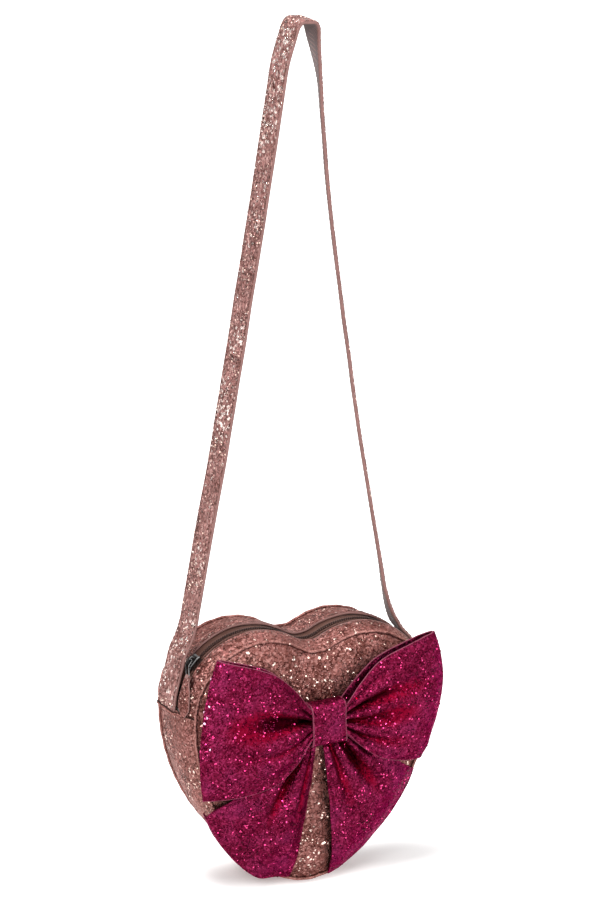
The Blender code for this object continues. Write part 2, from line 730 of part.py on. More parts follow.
def build():
    clear_scene()
    looks = {
        "shell": material("rose_glitter", (0.34, 0.16, 0.14), 0.42, 0.55),
        "piping": material("seam_brown", (0.22, 0.10, 0.09), 0.55, 0.0),
        "foam": material("padding", (0.75, 0.73, 0.68), 0.95, 0.0),
        "lining": material("lining_cloth", (0.30, 0.16, 0.15), 0.80, 0.0),
        "tape": material("zip_tape", (0.20, 0.09, 0.08), 0.60, 0.0),
        "coil": material("zip_teeth", (0.06, 0.035, 0.035), 0.45, 0.0),
        "metal": material("gunmetal", (0.12, 0.12, 0.13), 0.30, 1.0),
        "backing": material("strap_backing", (0.12, 0.05, 0.05), 0.70, 0.0),
        "bow": material("magenta_glitter", (0.24, 0.010, 0.075), 0.38, 0.55),
    }
    seams = add_empty("side_seam_line", (-STRAP_LEAN, -STRAP_Y, -STRAP_RISE))
    strap = add_empty("strap_frame", (0.0, 0.0, 0.0), seams)
    bag = add_empty("bag_frame", (0.0, 0.0, 0.0), seams)
    lobe = add_empty("slider_axis", (-LOBE_OFFSET, 0.0, 0.0), bag)
    pin_x, pin_z = at((0.0, 0.0, LOBE_RADIUS, 1, SLIDER_ANGLE), LINK_LEVEL)
    pin = add_empty("pull_axis", (pin_x, 0.0, pin_z), lobe)
    bow = add_empty("bow_frame", (0.0, 0.0, BOW_Z), bag)
    bow.rotation_euler.y = -BOW_TILT
    build_shell(looks, bag)
    build_zip(looks, bag)
    build_stops(looks, bag)
    build_slider(looks, lobe)
    build_pull(looks, pin)
    build_strap(looks, strap)
    build_knot(looks, bow)
    build_loop("bow_loop_left", -1, (LOOP_HALF_LEFT, LOOP_RISE_LEFT, LOOP_FOLD_LEFT), looks, bow)
    build_loop("bow_loop_right", 1, (LOOP_HALF_RIGHT, LOOP_RISE_RIGHT, LOOP_FOLD_RIGHT), looks, bow)
    build_tail("bow_tail_left", -1, TAIL_OUTER_LEFT, TAIL_OVERHANG_LEFT, looks, bag)
    build_tail("bow_tail_right", 1, TAIL_OUTER_RIGHT, TAIL_OVERHANG_RIGHT, looks, bag)


build()
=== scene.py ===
import math
import time
from itertools import accumulate

import bmesh
import bpy
from mathutils import Matrix, Vector, noise


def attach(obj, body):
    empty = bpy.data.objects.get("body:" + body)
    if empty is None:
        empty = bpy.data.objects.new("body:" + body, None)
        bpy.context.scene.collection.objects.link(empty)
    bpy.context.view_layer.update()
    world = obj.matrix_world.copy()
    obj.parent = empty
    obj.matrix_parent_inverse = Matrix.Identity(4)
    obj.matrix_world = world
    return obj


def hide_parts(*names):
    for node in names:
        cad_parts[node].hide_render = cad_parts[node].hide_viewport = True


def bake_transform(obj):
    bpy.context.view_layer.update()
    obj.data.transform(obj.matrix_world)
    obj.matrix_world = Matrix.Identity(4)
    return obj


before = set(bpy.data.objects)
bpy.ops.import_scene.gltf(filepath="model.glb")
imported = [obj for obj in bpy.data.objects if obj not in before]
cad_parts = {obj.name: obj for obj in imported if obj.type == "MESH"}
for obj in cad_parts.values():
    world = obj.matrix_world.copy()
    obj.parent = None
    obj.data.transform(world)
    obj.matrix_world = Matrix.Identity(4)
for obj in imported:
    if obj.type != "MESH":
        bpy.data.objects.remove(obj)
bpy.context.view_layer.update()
print("stage: frame loaded")

# Lengths below are millimetres in the bag's own place: x right, y back, z up, with the
# origin midway between the two lobe centres. toWorld moves them to the frame in metres.
mm = 0.001
bagPlace = Vector((16.0, -3.5, -449.0))

body = {
    "lobeRadius": 48.5, "lobeOffset": 36.5, "cleftRadius": 23.0, "flankRadius": 135.0, "tipRadius": 44.0,
    "tipDrop": 75.0, "halfDepth": 29.0, "crown": 4.5, "edge": 1.4, "puffRun": 26.5, "puffPower": 2.4,
    "frontPuff": 7.0, "backPuff": 4.0, "step": 2.4, "fineStep": 1.6,
}
zipSet = {
    "y": -6.5, "slit": 0.8, "coil": 1.6, "shown": 5.7, "tapeLevel": 1.85, "tape": 0.7, "tapeWidth": 9.6,
    "end": 5.0, "coilBase": 2.15, "coilTop": 3.85, "pitch": 1.5,
}


def toWorld(point):
    return (Vector(point) + bagPlace) * mm


def smooth(low, high, value):
    t = min(1.0, max(0.0, (value - low) / (high - low)))
    return t * t * (3 - 2 * t)


def mix(a, b, t):
    return a + (b - a) * t


def bell(value, centre, width):
    return math.exp(-((value - centre) / width) ** 2)


def through(table, x):
    # smooth value of a table of (place, value) pairs
    last = len(table) - 1
    if x <= table[0][0]:
        return table[0][1]
    if x >= table[last][0]:
        return table[last][1]
    i = next(i for i in range(last) if x <= table[i + 1][0])

    def slope(k):
        low, high = max(k - 1, 0), min(k + 1, last)
        return (table[high][1] - table[low][1]) / (table[high][0] - table[low][0])

    (x0, y0), (x1, y1) = table[i], table[i + 1]
    h = x1 - x0
    t = (x - x0) / h
    return (
        y0 * (1 + 2 * t) * (1 - t) ** 2 + h * slope(i) * t * (1 - t) ** 2
        + y1 * t * t * (3 - 2 * t) + h * slope(i + 1) * t * t * (t - 1)
    )


def wobble(point, size, amount, seed=0.0):
    return amount * noise.noise(Vector(point) / size + Vector((seed, seed * 0.7, -seed)))


def lengthsAlong(points):
    return list(accumulate(((b - a).length for a, b in zip(points, points[1:])), initial=0.0))


def evenly(lengths, goal, pitch):
    # for places a pitch apart along a run: the part of the run, and how far along that part
    for i, (low, high) in enumerate(zip(lengths, lengths[1:])):
        while goal <= high:
            yield i, (goal - low) / (high - low)
            goal += pitch


def addPiece(name, mesh, look):
    piece = bpy.data.objects.new(name, mesh)
    bpy.context.scene.collection.objects.link(piece)
    if look:
        mesh.materials.append(look)
    return piece


def settle(piece):
    # turn a piece's modifiers into its mesh
    bpy.context.view_layer.update()
    graph = bpy.context.evaluated_depsgraph_get()
    made = bpy.data.meshes.new_from_object(piece.evaluated_get(graph))
    old = piece.data
    piece.modifiers.clear()
    piece.data = made
    bpy.data.meshes.remove(old)
    for face in made.polygons:
        face.use_smooth = True


def thicken(piece, thick, offset=0.0):
    solid = piece.modifiers.new("thick", "SOLIDIFY")
    solid.thickness = thick * mm
    solid.offset = offset
    settle(piece)


def gridMesh(name, rows, ringed=False, looped=False, capped=False):
    # faces between rows of places: ringed closes each row, looped joins the last row to the first,
    # capped closes both ends
    data = bmesh.new()
    verts = [[data.verts.new(place) for place in row] for row in rows]
    count = len(verts[0])
    pairs = list(zip(verts, verts[1:]))
    if looped:
        pairs.append((verts[-1], verts[0]))
    for first, second in pairs:
        for i in range(count if ringed else count - 1):
            j = (i + 1) % count
            data.faces.new((first[i], first[j], second[j], second[i]))
    if capped:
        data.faces.new(verts[0])
        data.faces.new(list(reversed(verts[-1])))
    bmesh.ops.recalc_face_normals(data, faces=data.faces)
    mesh = bpy.data.meshes.new(name)
    data.to_mesh(mesh)
    data.free()
    return mesh


def gridPiece(name, rows, look, thick=0.0, sharp=50.0, paintedFoldShade=None, **closed):
    # thick gives an open sheet its thickness, paintedFoldShade holds the points' fold depths, which the look
    # turns into painted shade
    mesh = gridMesh(name, [[toWorld(point) for point in row] for row in rows], **closed)
    piece = addPiece(name, mesh, looks.get(look))
    if paintedFoldShade:
        piece.data.attributes.new("fold", "FLOAT", "POINT").data.foreach_set("value", paintedFoldShade)
    if thick:
        thicken(piece, thick)
    data = bmesh.new()
    data.from_mesh(piece.data)
    bmesh.ops.recalc_face_normals(data, faces=data.faces)
    data.to_mesh(piece.data)
    data.free()
    for face in piece.data.polygons:
        face.use_smooth = True
    piece.data.set_sharp_from_angle(angle=math.radians(sharp))
    return piece


def tube(name, path, radius, look, sides=8, looped=False, flat=1.0, up=(0.0, 1.0, 0.0)):
    # a round bar along a path; flat squeezes it along up
    up = Vector(up).normalized()
    last = len(path) - 1
    rows = []
    for index, point in enumerate(path):
        before = path[index - 1 if looped else max(index - 1, 0)]
        after = path[(index + 1) % len(path) if looped else min(index + 1, last)]
        along = (after - before).normalized()
        across = along.cross(up).normalized()
        rise = across.cross(along).normalized()
        turns = [math.tau * side / sides for side in range(sides)]
        rows.append([
            point + across * radius * math.cos(turn) + rise * radius * flat * math.sin(turn) for turn in turns
        ])
    return gridPiece(name, rows, look, ringed=True, looped=looped, capped=not looped)


def feed(node, inputs):
    # inputs maps a node's sockets to plain values, or to the sockets that they are linked to
    for socket, value in inputs.items():
        target = node.inputs[socket]
        if isinstance(value, bpy.types.NodeSocket):
            node.id_data.links.new(value, target)
        else:
            target.default_value = (*value, 1.0) if target.type == "RGBA" else value


def addNode(tree, kind, inputs=None, **settings):
    # adds a node and gives back its outputs
    node = tree.nodes.new(kind)
    for name, value in settings.items():
        setattr(node, name, value)
    feed(node, inputs or {})
    return node.outputs


def calc(tree, operation, *values):
    return addNode(tree, "ShaderNodeMath", dict(enumerate(values)), operation=operation)[0]


def ranged(tree, value, low, high, toLow=0.0, toHigh=1.0, shape="SMOOTHSTEP"):
    ends = {"Value": value, "From Min": low, "From Max": high, "To Min": toLow, "To Max": toHigh}
    return addNode(tree, "ShaderNodeMapRange", ends, interpolation_type=shape)["Result"]


def ramped(tree, value, stops):
    node = tree.nodes.new("ShaderNodeValToRGB")
    feed(node, {"Fac": value})
    marks = node.color_ramp.elements
    while len(marks) < len(stops):
        marks.new(0.5)
    for mark, (place, colour) in zip(marks, stops):
        mark.position = place
        mark.color = (*colour, 1.0)
    return node.outputs["Color"]


def blended(tree, share, under, over, kind="RGBA"):
    # under where share is 0, over where it is 1
    first, out = (6, 2) if kind == "RGBA" else (2, 0)
    return addNode(tree, "ShaderNodeMix", {0: share, first: under, first + 1: over}, data_type=kind)[out]


def newGroup(name, kind, inputs, outputs):
    group = bpy.data.node_groups.new(name, kind)
    for way, sockets in (("INPUT", inputs), ("OUTPUT", outputs)):
        for label, form in sockets.items():
            group.interface.new_socket(label, in_out=way, socket_type="NodeSocket" + form)
    return group, group.nodes.new("NodeGroupInput").outputs, group.nodes.new("NodeGroupOutput")


def newMaterial(name):
    look = bpy.data.materials.new(name)
    look.use_nodes = True
    return look, look.node_tree, look.node_tree.nodes["Principled BSDF"]


def glitterGroup():
    # small plates: a tone and a tipped normal for each, the ones that glint, dark cracks between
    # some of them, and slow changes of tone over the cloth
    tree, given, out = newGroup(
        "glitterPlates", "ShaderNodeTree", dict.fromkeys(("Cell", "Tilt", "Glints", "Cluster"), "Float"),
        {**dict.fromkeys(("Tone", "Glint", "Gap", "Patch"), "Float"), "Normal": "Vector"},
    )
    place = addNode(tree, "ShaderNodeTexCoord")["Object"]

    def noiseAt(scale, detail=2.0):
        return addNode(tree, "ShaderNodeTexNoise", {"Vector": place, "Scale": scale, "Detail": detail})

    def vector(operation, *values, **more):
        inputs = {**dict(enumerate(values)), **more}
        return addNode(tree, "ShaderNodeVectorMath", inputs, operation=operation)[0]

    bent = vector("MULTIPLY_ADD", noiseAt(420.0)["Color"], (0.0011, 0.0011, 0.0011), place)
    size = calc(tree, "DIVIDE", 1000.0, given["Cell"])
    plate = addNode(tree, "ShaderNodeTexVoronoi", {"Vector": bent, "Scale": size})["Color"]
    wide = calc(tree, "MULTIPLY", size, 0.55)
    edges = addNode(tree, "ShaderNodeTexVoronoi", {"Vector": bent, "Scale": wide}, feature="DISTANCE_TO_EDGE")
    split = addNode(tree, "ShaderNodeSeparateColor", {"Color": plate})
    crowd = ranged(tree, noiseAt(given["Cluster"])["Fac"], 0.42, 0.66, 0.10, 3.0)
    share = calc(tree, "MULTIPLY", crowd, given["Glints"])
    shown = ranged(tree, noiseAt(330.0, 3.0)["Fac"], 0.44, 0.60)
    crack = ranged(tree, edges["Distance"], 0.02, 0.13)
    tip = vector("SCALE", vector("SUBTRACT", plate, (0.5, 0.5, 0.5)), Scale=given["Tilt"])
    dent = addNode(tree, "ShaderNodeBump", {
        "Strength": 0.5, "Distance": 0.0006, "Height": calc(tree, "MULTIPLY", shown, crack),
    })["Normal"]
    feed(out, {
        "Tone": split["Red"],
        "Glint": calc(tree, "GREATER_THAN", calc(tree, "ADD", split["Green"], share), 1.0),
        "Gap": calc(tree, "MAXIMUM", crack, calc(tree, "SUBTRACT", 1.0, shown)),
        "Patch": noiseAt(58.0, 3.0)["Fac"],
        "Normal": vector("NORMALIZE", vector("ADD", dent, tip)),
    })
    return tree


def glitterLook(name, stops, bright, drift, crack, edge, cell, tilt, glints, rough, cluster=75.0, pleats=()):
    # stops are the plates' colours from dull to bright, bright is for those that glint, drift is the
    # colour that the cloth leans to in places, and pleats are the colours of painted shade, deeper and deeper
    # in a fold
    look, tree, shader = newMaterial(name)
    plates = addNode(tree, "ShaderNodeGroup", {
        "Cell": cell, "Tilt": tilt, "Glints": glints, "Cluster": cluster,
    }, node_tree=glitterPlates)
    slow = ranged(tree, plates["Patch"], 0.3, 0.7, 0.0, 0.30, "LINEAR")
    last = ramped(tree, calc(tree, "MULTIPLY_ADD", plates["Tone"], 0.70, slow), stops)
    last = blended(tree, ranged(tree, plates["Patch"], 0.50, 0.72, 0.0, 0.65, "LINEAR"), last, drift)
    # painted shade in the folds: the points' fold depth mixes in a crimson and then a near black
    for colour, (low, high, share) in zip(pleats, ((0.20, 0.58, 0.85), (0.60, 0.88, 0.95))):
        fold = addNode(tree, "ShaderNodeAttribute", attribute_name="fold")["Fac"]
        last = blended(tree, ranged(tree, fold, low, high, 0.0, share), last, colour)
    last = blended(tree, plates["Gap"], crack, last)
    feed(shader, {
        "Base Color": blended(tree, plates["Glint"], last, bright), "Normal": plates["Normal"],
        "Metallic": 1.0, "Specular Tint": edge,
        "Roughness": ranged(tree, plates["Glint"], 0.0, 1.0, rough, 0.15, "LINEAR"),
    })
    return look


def flakeLook(name, colour, rough):
    look, tree, shader = newMaterial(name)
    feed(shader, {"Base Color": colour, "Metallic": 1.0, "Roughness": rough})
    return look


def clothLook(name, colour, dark, scale, rough, bump, sheen=0.0, stretch=(1, 1, 1), gloss=0.5, wave=True):
    # cloudy tone with fine threads, or with grain where wave is off, and a little bump
    look, tree, shader = newMaterial(name)
    place = addNode(tree, "ShaderNodeTexCoord")["Object"]
    place = addNode(tree, "ShaderNodeMapping", {"Vector": place, "Scale": stretch})["Vector"]
    cloud = addNode(tree, "ShaderNodeTexNoise", {"Vector": place, "Scale": 90.0, "Detail": 4.0})["Fac"]
    kind, more = ("Wave", {"Distortion": 1.5, "Detail": 2.0}) if wave else ("Noise", {})
    threads = addNode(tree, "ShaderNodeTex" + kind, {"Vector": place, "Scale": scale, **more})["Fac"]
    tone = blended(tree, 0.45, cloud, threads, "FLOAT")
    feed(shader, {
        "Base Color": ramped(tree, tone, ((0.25, dark), (0.75, colour))),
        "Normal": addNode(tree, "ShaderNodeBump", {
            "Strength": bump, "Distance": 0.0003, "Height": threads,
        })["Normal"],
        "Roughness": rough, "Specular IOR Level": gloss, "Sheen Weight": sheen, "Sheen Roughness": 0.4,
    })
    return look


def metalLook(name, colour, rough):
    look, tree, shader = newMaterial(name)
    place = addNode(tree, "ShaderNodeTexCoord")["Object"]
    grain = addNode(tree, "ShaderNodeTexNoise", {"Vector": place, "Scale": 900.0, "Detail": 3.0})["Fac"]
    feed(shader, {
        "Base Color": ramped(tree, grain, ((0.3, [part * 0.6 for part in colour]), (0.7, colour))),
        "Roughness": ranged(tree, grain, 0.0, 1.0, rough * 0.7, rough * 1.5, "LINEAR"), "Metallic": 1.0,
    })
    return look


glitterPlates = glitterGroup()
looks = {
    "rose": glitterLook(
        "roseGlitter", stops=((0.00, (0.052, 0.014, 0.011)), (0.32, (0.140, 0.050, 0.042)),
                              (0.68, (0.255, 0.106, 0.094)), (0.94, (0.520, 0.270, 0.240))),
        bright=(1.000, 0.800, 0.700), drift=(0.240, 0.090, 0.082), crack=(0.045, 0.012, 0.009),
        edge=(0.90, 0.74, 0.71), cell=1.4, tilt=0.55, glints=0.018, rough=0.46,
    ),
    # a lighter, more glinting copy of the body's glitter for the strap: painted light, as the strap is the
    # same cloth as the body
    "litStrapRose": glitterLook(
        "strapGlitter", stops=((0.00, (0.120, 0.046, 0.038)), (0.35, (0.240, 0.108, 0.096)),
                               (0.68, (0.370, 0.184, 0.168)), (0.90, (0.700, 0.450, 0.410))),
        bright=(1.000, 0.880, 0.820), drift=(0.310, 0.138, 0.126), crack=(0.075, 0.024, 0.019),
        edge=(0.92, 0.82, 0.80), cell=1.7, tilt=0.60, glints=0.085, rough=0.42, cluster=26.0,
    ),
    # a lighter, lower-contrast copy of the body's glitter for the seam ridges: painted highlight on their
    # crests
    "crestLitRose": glitterLook(
        "seamGlitter", stops=((0.00, (0.190, 0.080, 0.068)), (0.35, (0.260, 0.116, 0.102)),
                              (0.70, (0.340, 0.160, 0.142)), (0.96, (0.460, 0.240, 0.214))),
        bright=(1.000, 0.800, 0.700), drift=(0.280, 0.120, 0.106), crack=(0.120, 0.045, 0.036),
        edge=(0.85, 0.60, 0.56), cell=1.2, tilt=0.40, glints=0.008, rough=0.50,
    ),
    "magenta": glitterLook(
        "magentaGlitter", stops=((0.00, (0.040, 0.0006, 0.006)), (0.30, (0.092, 0.0036, 0.018)),
                                 (0.62, (0.150, 0.0075, 0.034)), (0.92, (0.330, 0.0270, 0.098))),
        bright=(1.000, 0.080, 0.300), drift=(0.130, 0.0100, 0.046), crack=(0.018, 0.0000, 0.003),
        edge=(0.93, 0.45, 0.62), cell=0.95, tilt=0.60, glints=0.012, rough=0.42,
        # painted shade for the folds: crimson where shallow, near black where deep
        pleats=((0.170, 0.0008, 0.012), (0.012, 0.0000, 0.001)),
    ),
    "metal": metalLook("gunmetal", (0.15, 0.145, 0.145), 0.26),
}
# bright and dark colour, scale of the weave, roughness, depth of the bump, and what is special
for key, name, colour, dark, scale, rough, bump, more in (
    ("roseFold", "roseFold", (0.300, 0.150, 0.135), (0.170, 0.078, 0.068), 900.0, 0.60, 0.3,
     {"sheen": 0.05, "wave": False}),
    ("magentaFold", "magentaFold", (0.230, 0.016, 0.060), (0.130, 0.005, 0.030), 900.0, 0.55, 0.3,
     {"sheen": 0.05, "wave": False}),
    ("backing", "strapBacking", (0.150, 0.080, 0.074), (0.090, 0.046, 0.042), 1300.0, 0.75, 0.35,
     {"sheen": 0.15}),
    ("tape", "satinTape", (0.230, 0.112, 0.086), (0.130, 0.060, 0.046), 700.0, 0.50, 0.4,
     {"sheen": 0.1, "stretch": (1.0, 2.0, 1.0), "gloss": 0.3}),
    ("lining", "liningWeave", (0.220, 0.110, 0.100), (0.130, 0.062, 0.058), 1200.0, 0.80, 0.5,
     {"sheen": 0.2}),
    ("foam", "openFoam", (0.78, 0.76, 0.70), (0.60, 0.58, 0.52), 1100.0, 0.95, 0.8, {"wave": False}),
    # painted shade: a near-black cloth for the tubes laid in the seam grooves
    ("shade", "seamGroove", (0.050, 0.020, 0.016), (0.024, 0.009, 0.007), 900.0, 0.80, 0.2,
     {"gloss": 0.1, "wave": False}),
    ("thread", "sewingThread", (0.300, 0.165, 0.140), (0.180, 0.090, 0.078), 2500.0, 0.60, 0.5,
     {"sheen": 0.2}),
    ("teeth", "nylonTeeth", (0.055, 0.028, 0.024), (0.026, 0.013, 0.011), 1500.0, 0.62, 0.2,
     {"gloss": 0.2, "wave": False}),
):
    looks[key] = clothLook(name, colour, dark, scale, rough, bump, **more)
# common, deep and pale flakes of each kind: colour and roughness
flakeLooks = {
    kind: [flakeLook(f"{kind}Flake{grade}", *tone) for grade, tone in zip(("", "Deep", "Pale"), tones)]
    for kind, tones in (
        ("rose", (((0.48, 0.240, 0.212), 0.34), ((0.085, 0.026, 0.021), 0.42), ((1.00, 0.74, 0.62), 0.20))),
        # the fold kind is a brighter copy of the magenta flakes, a painted highlight for the left loop's lit
        # fold
        ("fold", (((1.00, 0.10, 0.34), 0.24), ((0.60, 0.02, 0.14), 0.30), ((1.00, 0.62, 0.84), 0.20))),
        ("magenta", (((0.24, 0.012, 0.060), 0.36), ((0.055, 0.001, 0.008), 0.42),
                     ((1.00, 0.055, 0.270), 0.20))),
    )
}
print("stage: materials")


def flakeTree():
    # flat six-sided flakes over a surface, more of them in places, tipped at random, in three looks
    tree, given, out = newGroup("scatterFlakes", "GeometryNodeTree", {
        "Geometry": "Geometry", "Seed": "Int",
        **dict.fromkeys(("Density", "Size", "Tilt", "Lift", "Pale from"), "Float"),
        **dict.fromkeys(("Look", "Deep look", "Pale look"), "Material"),
    }, {"Geometry": "Geometry"})
    place = addNode(tree, "GeometryNodeInputPosition")[0]
    crowd = addNode(tree, "ShaderNodeTexNoise", {
        "Vector": place, "W": given["Seed"], "Scale": 60.0,
    }, noise_dimensions="4D")["Fac"]
    share = ranged(tree, crowd, 0.44, 0.68, 0.16, 3.6)
    spread = addNode(tree, "GeometryNodeDistributePointsOnFaces", {
        "Mesh": given["Geometry"], "Seed": given["Seed"],
        "Density": calc(tree, "MULTIPLY", share, given["Density"]),
    })
    disc = addNode(tree, "GeometryNodeMeshCircle", {"Vertices": 6, "Radius": given["Size"]}, fill_type="NGON")
    tilt = given["Tilt"]
    back = calc(tree, "MULTIPLY", tilt, -1.0)
    tip = addNode(tree, "FunctionNodeRandomValue", {
        "Min": addNode(tree, "ShaderNodeCombineXYZ", {"X": back, "Y": back})[0],
        "Max": addNode(tree, "ShaderNodeCombineXYZ", {"X": tilt, "Y": tilt, "Z": math.tau})[0],
        "Seed": given["Seed"],
    }, data_type="FLOAT_VECTOR")["Value"]
    flakes = addNode(tree, "GeometryNodeInstanceOnPoints", {
        "Points": spread["Points"], "Instance": disc["Mesh"],
        "Rotation": addNode(tree, "FunctionNodeRotateRotation", {
            0: spread["Rotation"], 1: tip,
        }, rotation_space="LOCAL")[0],
        "Scale": addNode(tree, "FunctionNodeRandomValue", {2: 0.55, 3: 1.25}, data_type="FLOAT")[1],
    })["Instances"]
    raised = addNode(tree, "GeometryNodeTranslateInstances", {
        "Instances": flakes, "Translation": addNode(tree, "ShaderNodeCombineXYZ", {"Z": given["Lift"]})[0],
    })["Instances"]
    toned = addNode(tree, "GeometryNodeStoreNamedAttribute", {
        "Geometry": raised, "Name": "tone",
        "Value": addNode(tree, "FunctionNodeRandomValue", data_type="FLOAT")[1],
    }, data_type="FLOAT", domain="INSTANCE")["Geometry"]
    last = addNode(tree, "GeometryNodeRealizeInstances", {"Geometry": toned})["Geometry"]
    tone = addNode(tree, "GeometryNodeInputNamedAttribute", {"Name": "tone"}, data_type="FLOAT")[0]
    for label, above in (("Look", -1.0), ("Deep look", 0.55), ("Pale look", given["Pale from"])):
        chosen = addNode(tree, "FunctionNodeCompare", {0: tone, 1: above}, operation="GREATER_THAN")[0]
        last = addNode(tree, "GeometryNodeSetMaterial", {
            "Geometry": last, "Material": given[label], "Selection": chosen,
        })["Geometry"]
    feed(out, {"Geometry": last})
    return tree


def stampTree():
    # a copy of one object on each point, turned by the points' own values
    tree, given, out = newGroup("stampCopies", "GeometryNodeTree", {
        "Geometry": "Geometry", "Stamp": "Object", "Look": "Material",
    }, {"Geometry": "Geometry"})
    turn = addNode(tree, "GeometryNodeInputNamedAttribute", {"Name": "turn"}, data_type="FLOAT_VECTOR")[0]
    copies = addNode(tree, "GeometryNodeInstanceOnPoints", {
        "Points": addNode(tree, "GeometryNodeMeshToPoints", {"Mesh": given["Geometry"]})["Points"],
        "Instance": addNode(tree, "GeometryNodeObjectInfo", {"Object": given["Stamp"]})["Geometry"],
        "Rotation": addNode(tree, "FunctionNodeEulerToRotation", {0: turn})[0],
    })["Instances"]
    real = addNode(tree, "GeometryNodeRealizeInstances", {"Geometry": copies})["Geometry"]
    painted = addNode(tree, "GeometryNodeSetMaterial", {"Geometry": real, "Material": given["Look"]})
    feed(out, {"Geometry": painted["Geometry"]})
    return tree


scatterFlakes = flakeTree()
stampCopies = stampTree()
flakeSet = {
    "tilt": 0.45, "lift": 0.12,
    # how many per square mm, and their size
    "bag": (0.15, 0.48), "tab": (0.25, 0.40), "strap": (0.18, 0.48), "bow": (0.11, 0.48),
}


def runNodes(piece, group, values):
    node = piece.modifiers.new("nodes", "NODES")
    node.node_group = group
    sockets = {item.name: item.identifier for item in group.interface.items_tree if item.in_out == "INPUT"}
    for label, value in values.items():
        node[sockets[label]] = value
    settle(piece)


def addFlakes(piece, kind, density, size, seed, pale, lift=flakeSet["lift"]):
    # a skin of separate flakes over a finished piece; pale is the share of pale ones
    skin = addPiece(piece.name + "_flakes", piece.data.copy(), None)
    common, deep, bright = flakeLooks[kind]
    runNodes(skin, scatterFlakes, {
        "Density": density * 1e6, "Size": size * mm, "Tilt": flakeSet["tilt"], "Lift": lift * mm,
        "Pale from": 1 - pale, "Seed": seed, "Look": common, "Deep look": deep, "Pale look": bright,
    })
    for face in skin.data.polygons:
        face.use_smooth = False
    return skin


def stampRow(name, places, stampMesh, look):
    # places are rows of (point, forward, up); the stamp lies along X with Z up
    mesh = bpy.data.meshes.new(name)
    mesh.from_pydata([toWorld(point) for point, _, _ in places], [], [])
    turns = mesh.attributes.new("turn", "FLOAT_VECTOR", "POINT")
    for index, (_, forward, up) in enumerate(places):
        x = Vector(forward).normalized()
        z = (Vector(up) - x * Vector(up).dot(x)).normalized()
        turns.data[index].vector = Matrix((x, z.cross(x), z)).transposed().to_euler()[:]
    piece = addPiece(name, mesh, None)
    stamp = addPiece(name + "Stamp", stampMesh, None)
    runNodes(piece, stampCopies, {"Stamp": stamp, "Look": looks[look]})
    bpy.data.objects.remove(stamp)
    return piece


def capsule(name, length, radius, height, sides=6, rings=4):
    # a short rounded bar along X for a stitch or a tooth
    rows = []
    for t in (ring / rings for ring in range(rings + 1)):
        fat = math.sin(math.pi * (0.12 + 0.76 * t)) ** 0.6
        rows.append([
            ((t - 0.5) * length * mm, radius * fat * math.cos(turn) * mm, height * fat * math.sin(turn) * mm)
            for turn in (math.tau * side / sides for side in range(sides))
        ])
    return gridMesh(name, rows, ringed=True, capped=True)


def outlineArcs():
    # arcs of the heart's right half as (centre x, centre z, radius, side, start, end): from the side
    # seam up to the cleft, and from the side seam down to the tip
    lobe = Vector((body["lobeOffset"], 0.0))
    tip = Vector((0.0, -body["tipDrop"]))
    toLobe = body["flankRadius"] - body["lobeRadius"]
    toTip = body["flankRadius"] - body["tipRadius"]
    span = (lobe - tip).length
    along = (toLobe ** 2 - toTip ** 2 + span ** 2) / (2 * span)
    unit = (tip - lobe) / span
    flank = lobe + unit * along + Vector((unit.y, -unit.x)) * math.sqrt(toLobe ** 2 - along ** 2)
    high = math.sqrt((body["lobeRadius"] + body["cleftRadius"]) ** 2 - body["lobeOffset"] ** 2)
    turn = math.atan2(high, -body["lobeOffset"])
    start = math.atan2(-flank.y, lobe.x - flank.x)
    end = math.atan2(tip.y - flank.y, -flank.x)
    top = [
        (lobe.x, 0.0, body["lobeRadius"], 1, 0.0, turn),
        (0.0, high, body["cleftRadius"], -1, turn - math.pi, -math.pi / 2),
    ]
    low = [
        (lobe.x, 0.0, body["lobeRadius"], 1, 0.0, start),
        (flank.x, flank.y, body["flankRadius"], 1, start, end),
        (0.0, tip.y, body["tipRadius"], 1, end, -math.pi / 2),
    ]
    return top, low


def mirrored(station):
    x, z, radius, side, turn = station
    return (-x, z, radius, side, math.pi - turn)


def halfRun(arcs, step):
    stations = []
    for x, z, radius, side, start, end in arcs:
        count = max(2, round(abs(end - start) * radius / step))
        stations += [(x, z, radius, side, start + (end - start) * i / count) for i in range(count)]
    return stations + [(x, z, radius, side, end)]


def wholeSide(which, step):
    half = halfRun(outlineArcs()[which], step)
    return half + [mirrored(station) for station in reversed(half[:-1])]


def wholeRun(step):
    return wholeSide(0, step) + list(reversed(wholeSide(1, step)))[1:-1]


def spot(station, outward):
    x, z, radius, side, turn = station
    reach = radius + side * outward
    return x + reach * math.cos(turn), z + reach * math.sin(turn)


def onBag(station, y, outward):
    x, z = spot(station, outward)
    return Vector((x, y, z))


def runLengths(stations):
    return lengthsAlong([Vector(spot(station, 0.0)) for station in stations])


def trimmed(stations, distance):
    # the run with its ends drawn in along the outline
    lengths = runLengths(stations)
    return [s for s, length in zip(stations, lengths) if distance <= length <= lengths[-1] - distance]


def crown(y):
    edge = math.copysign(body["halfDepth"] - body["edge"], y - zipSet["y"])
    share = (y - zipSet["y"]) / (edge - zipSet["y"])
    return body["crown"] * (1 - min(1.0, abs(share)) ** 2)


def domeRise(inset, height):
    t = min(1.0, max(0.0, inset - 1.0) / body["puffRun"])
    return height * (1 - (1 - t) ** body["puffPower"])


def wear(piece, slot, *nodes, on="bag"):
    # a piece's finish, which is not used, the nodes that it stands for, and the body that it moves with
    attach(piece, on)
    if nodes:
        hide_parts(*nodes)
    return piece


padSet = {
    "scale": 5.0, "frames": 20, "outward": 1.3, "inward": 0.05,
    # how firmly the first rows are sewn down
    "held": {0: 1.0, 1: 1.0, 2: 0.55, 3: 0.20},
    "cloth": {
        "quality": 7, "mass": 0.3, "tension_stiffness": 12.0, "compression_stiffness": 12.0,
        "shear_stiffness": 5.0, "bending_stiffness": 0.4, "use_pressure": True, "uniform_pressure_force": 0.6,
        "shrink_min": -0.003, "vertex_group_mass": "sewn",
    },
}


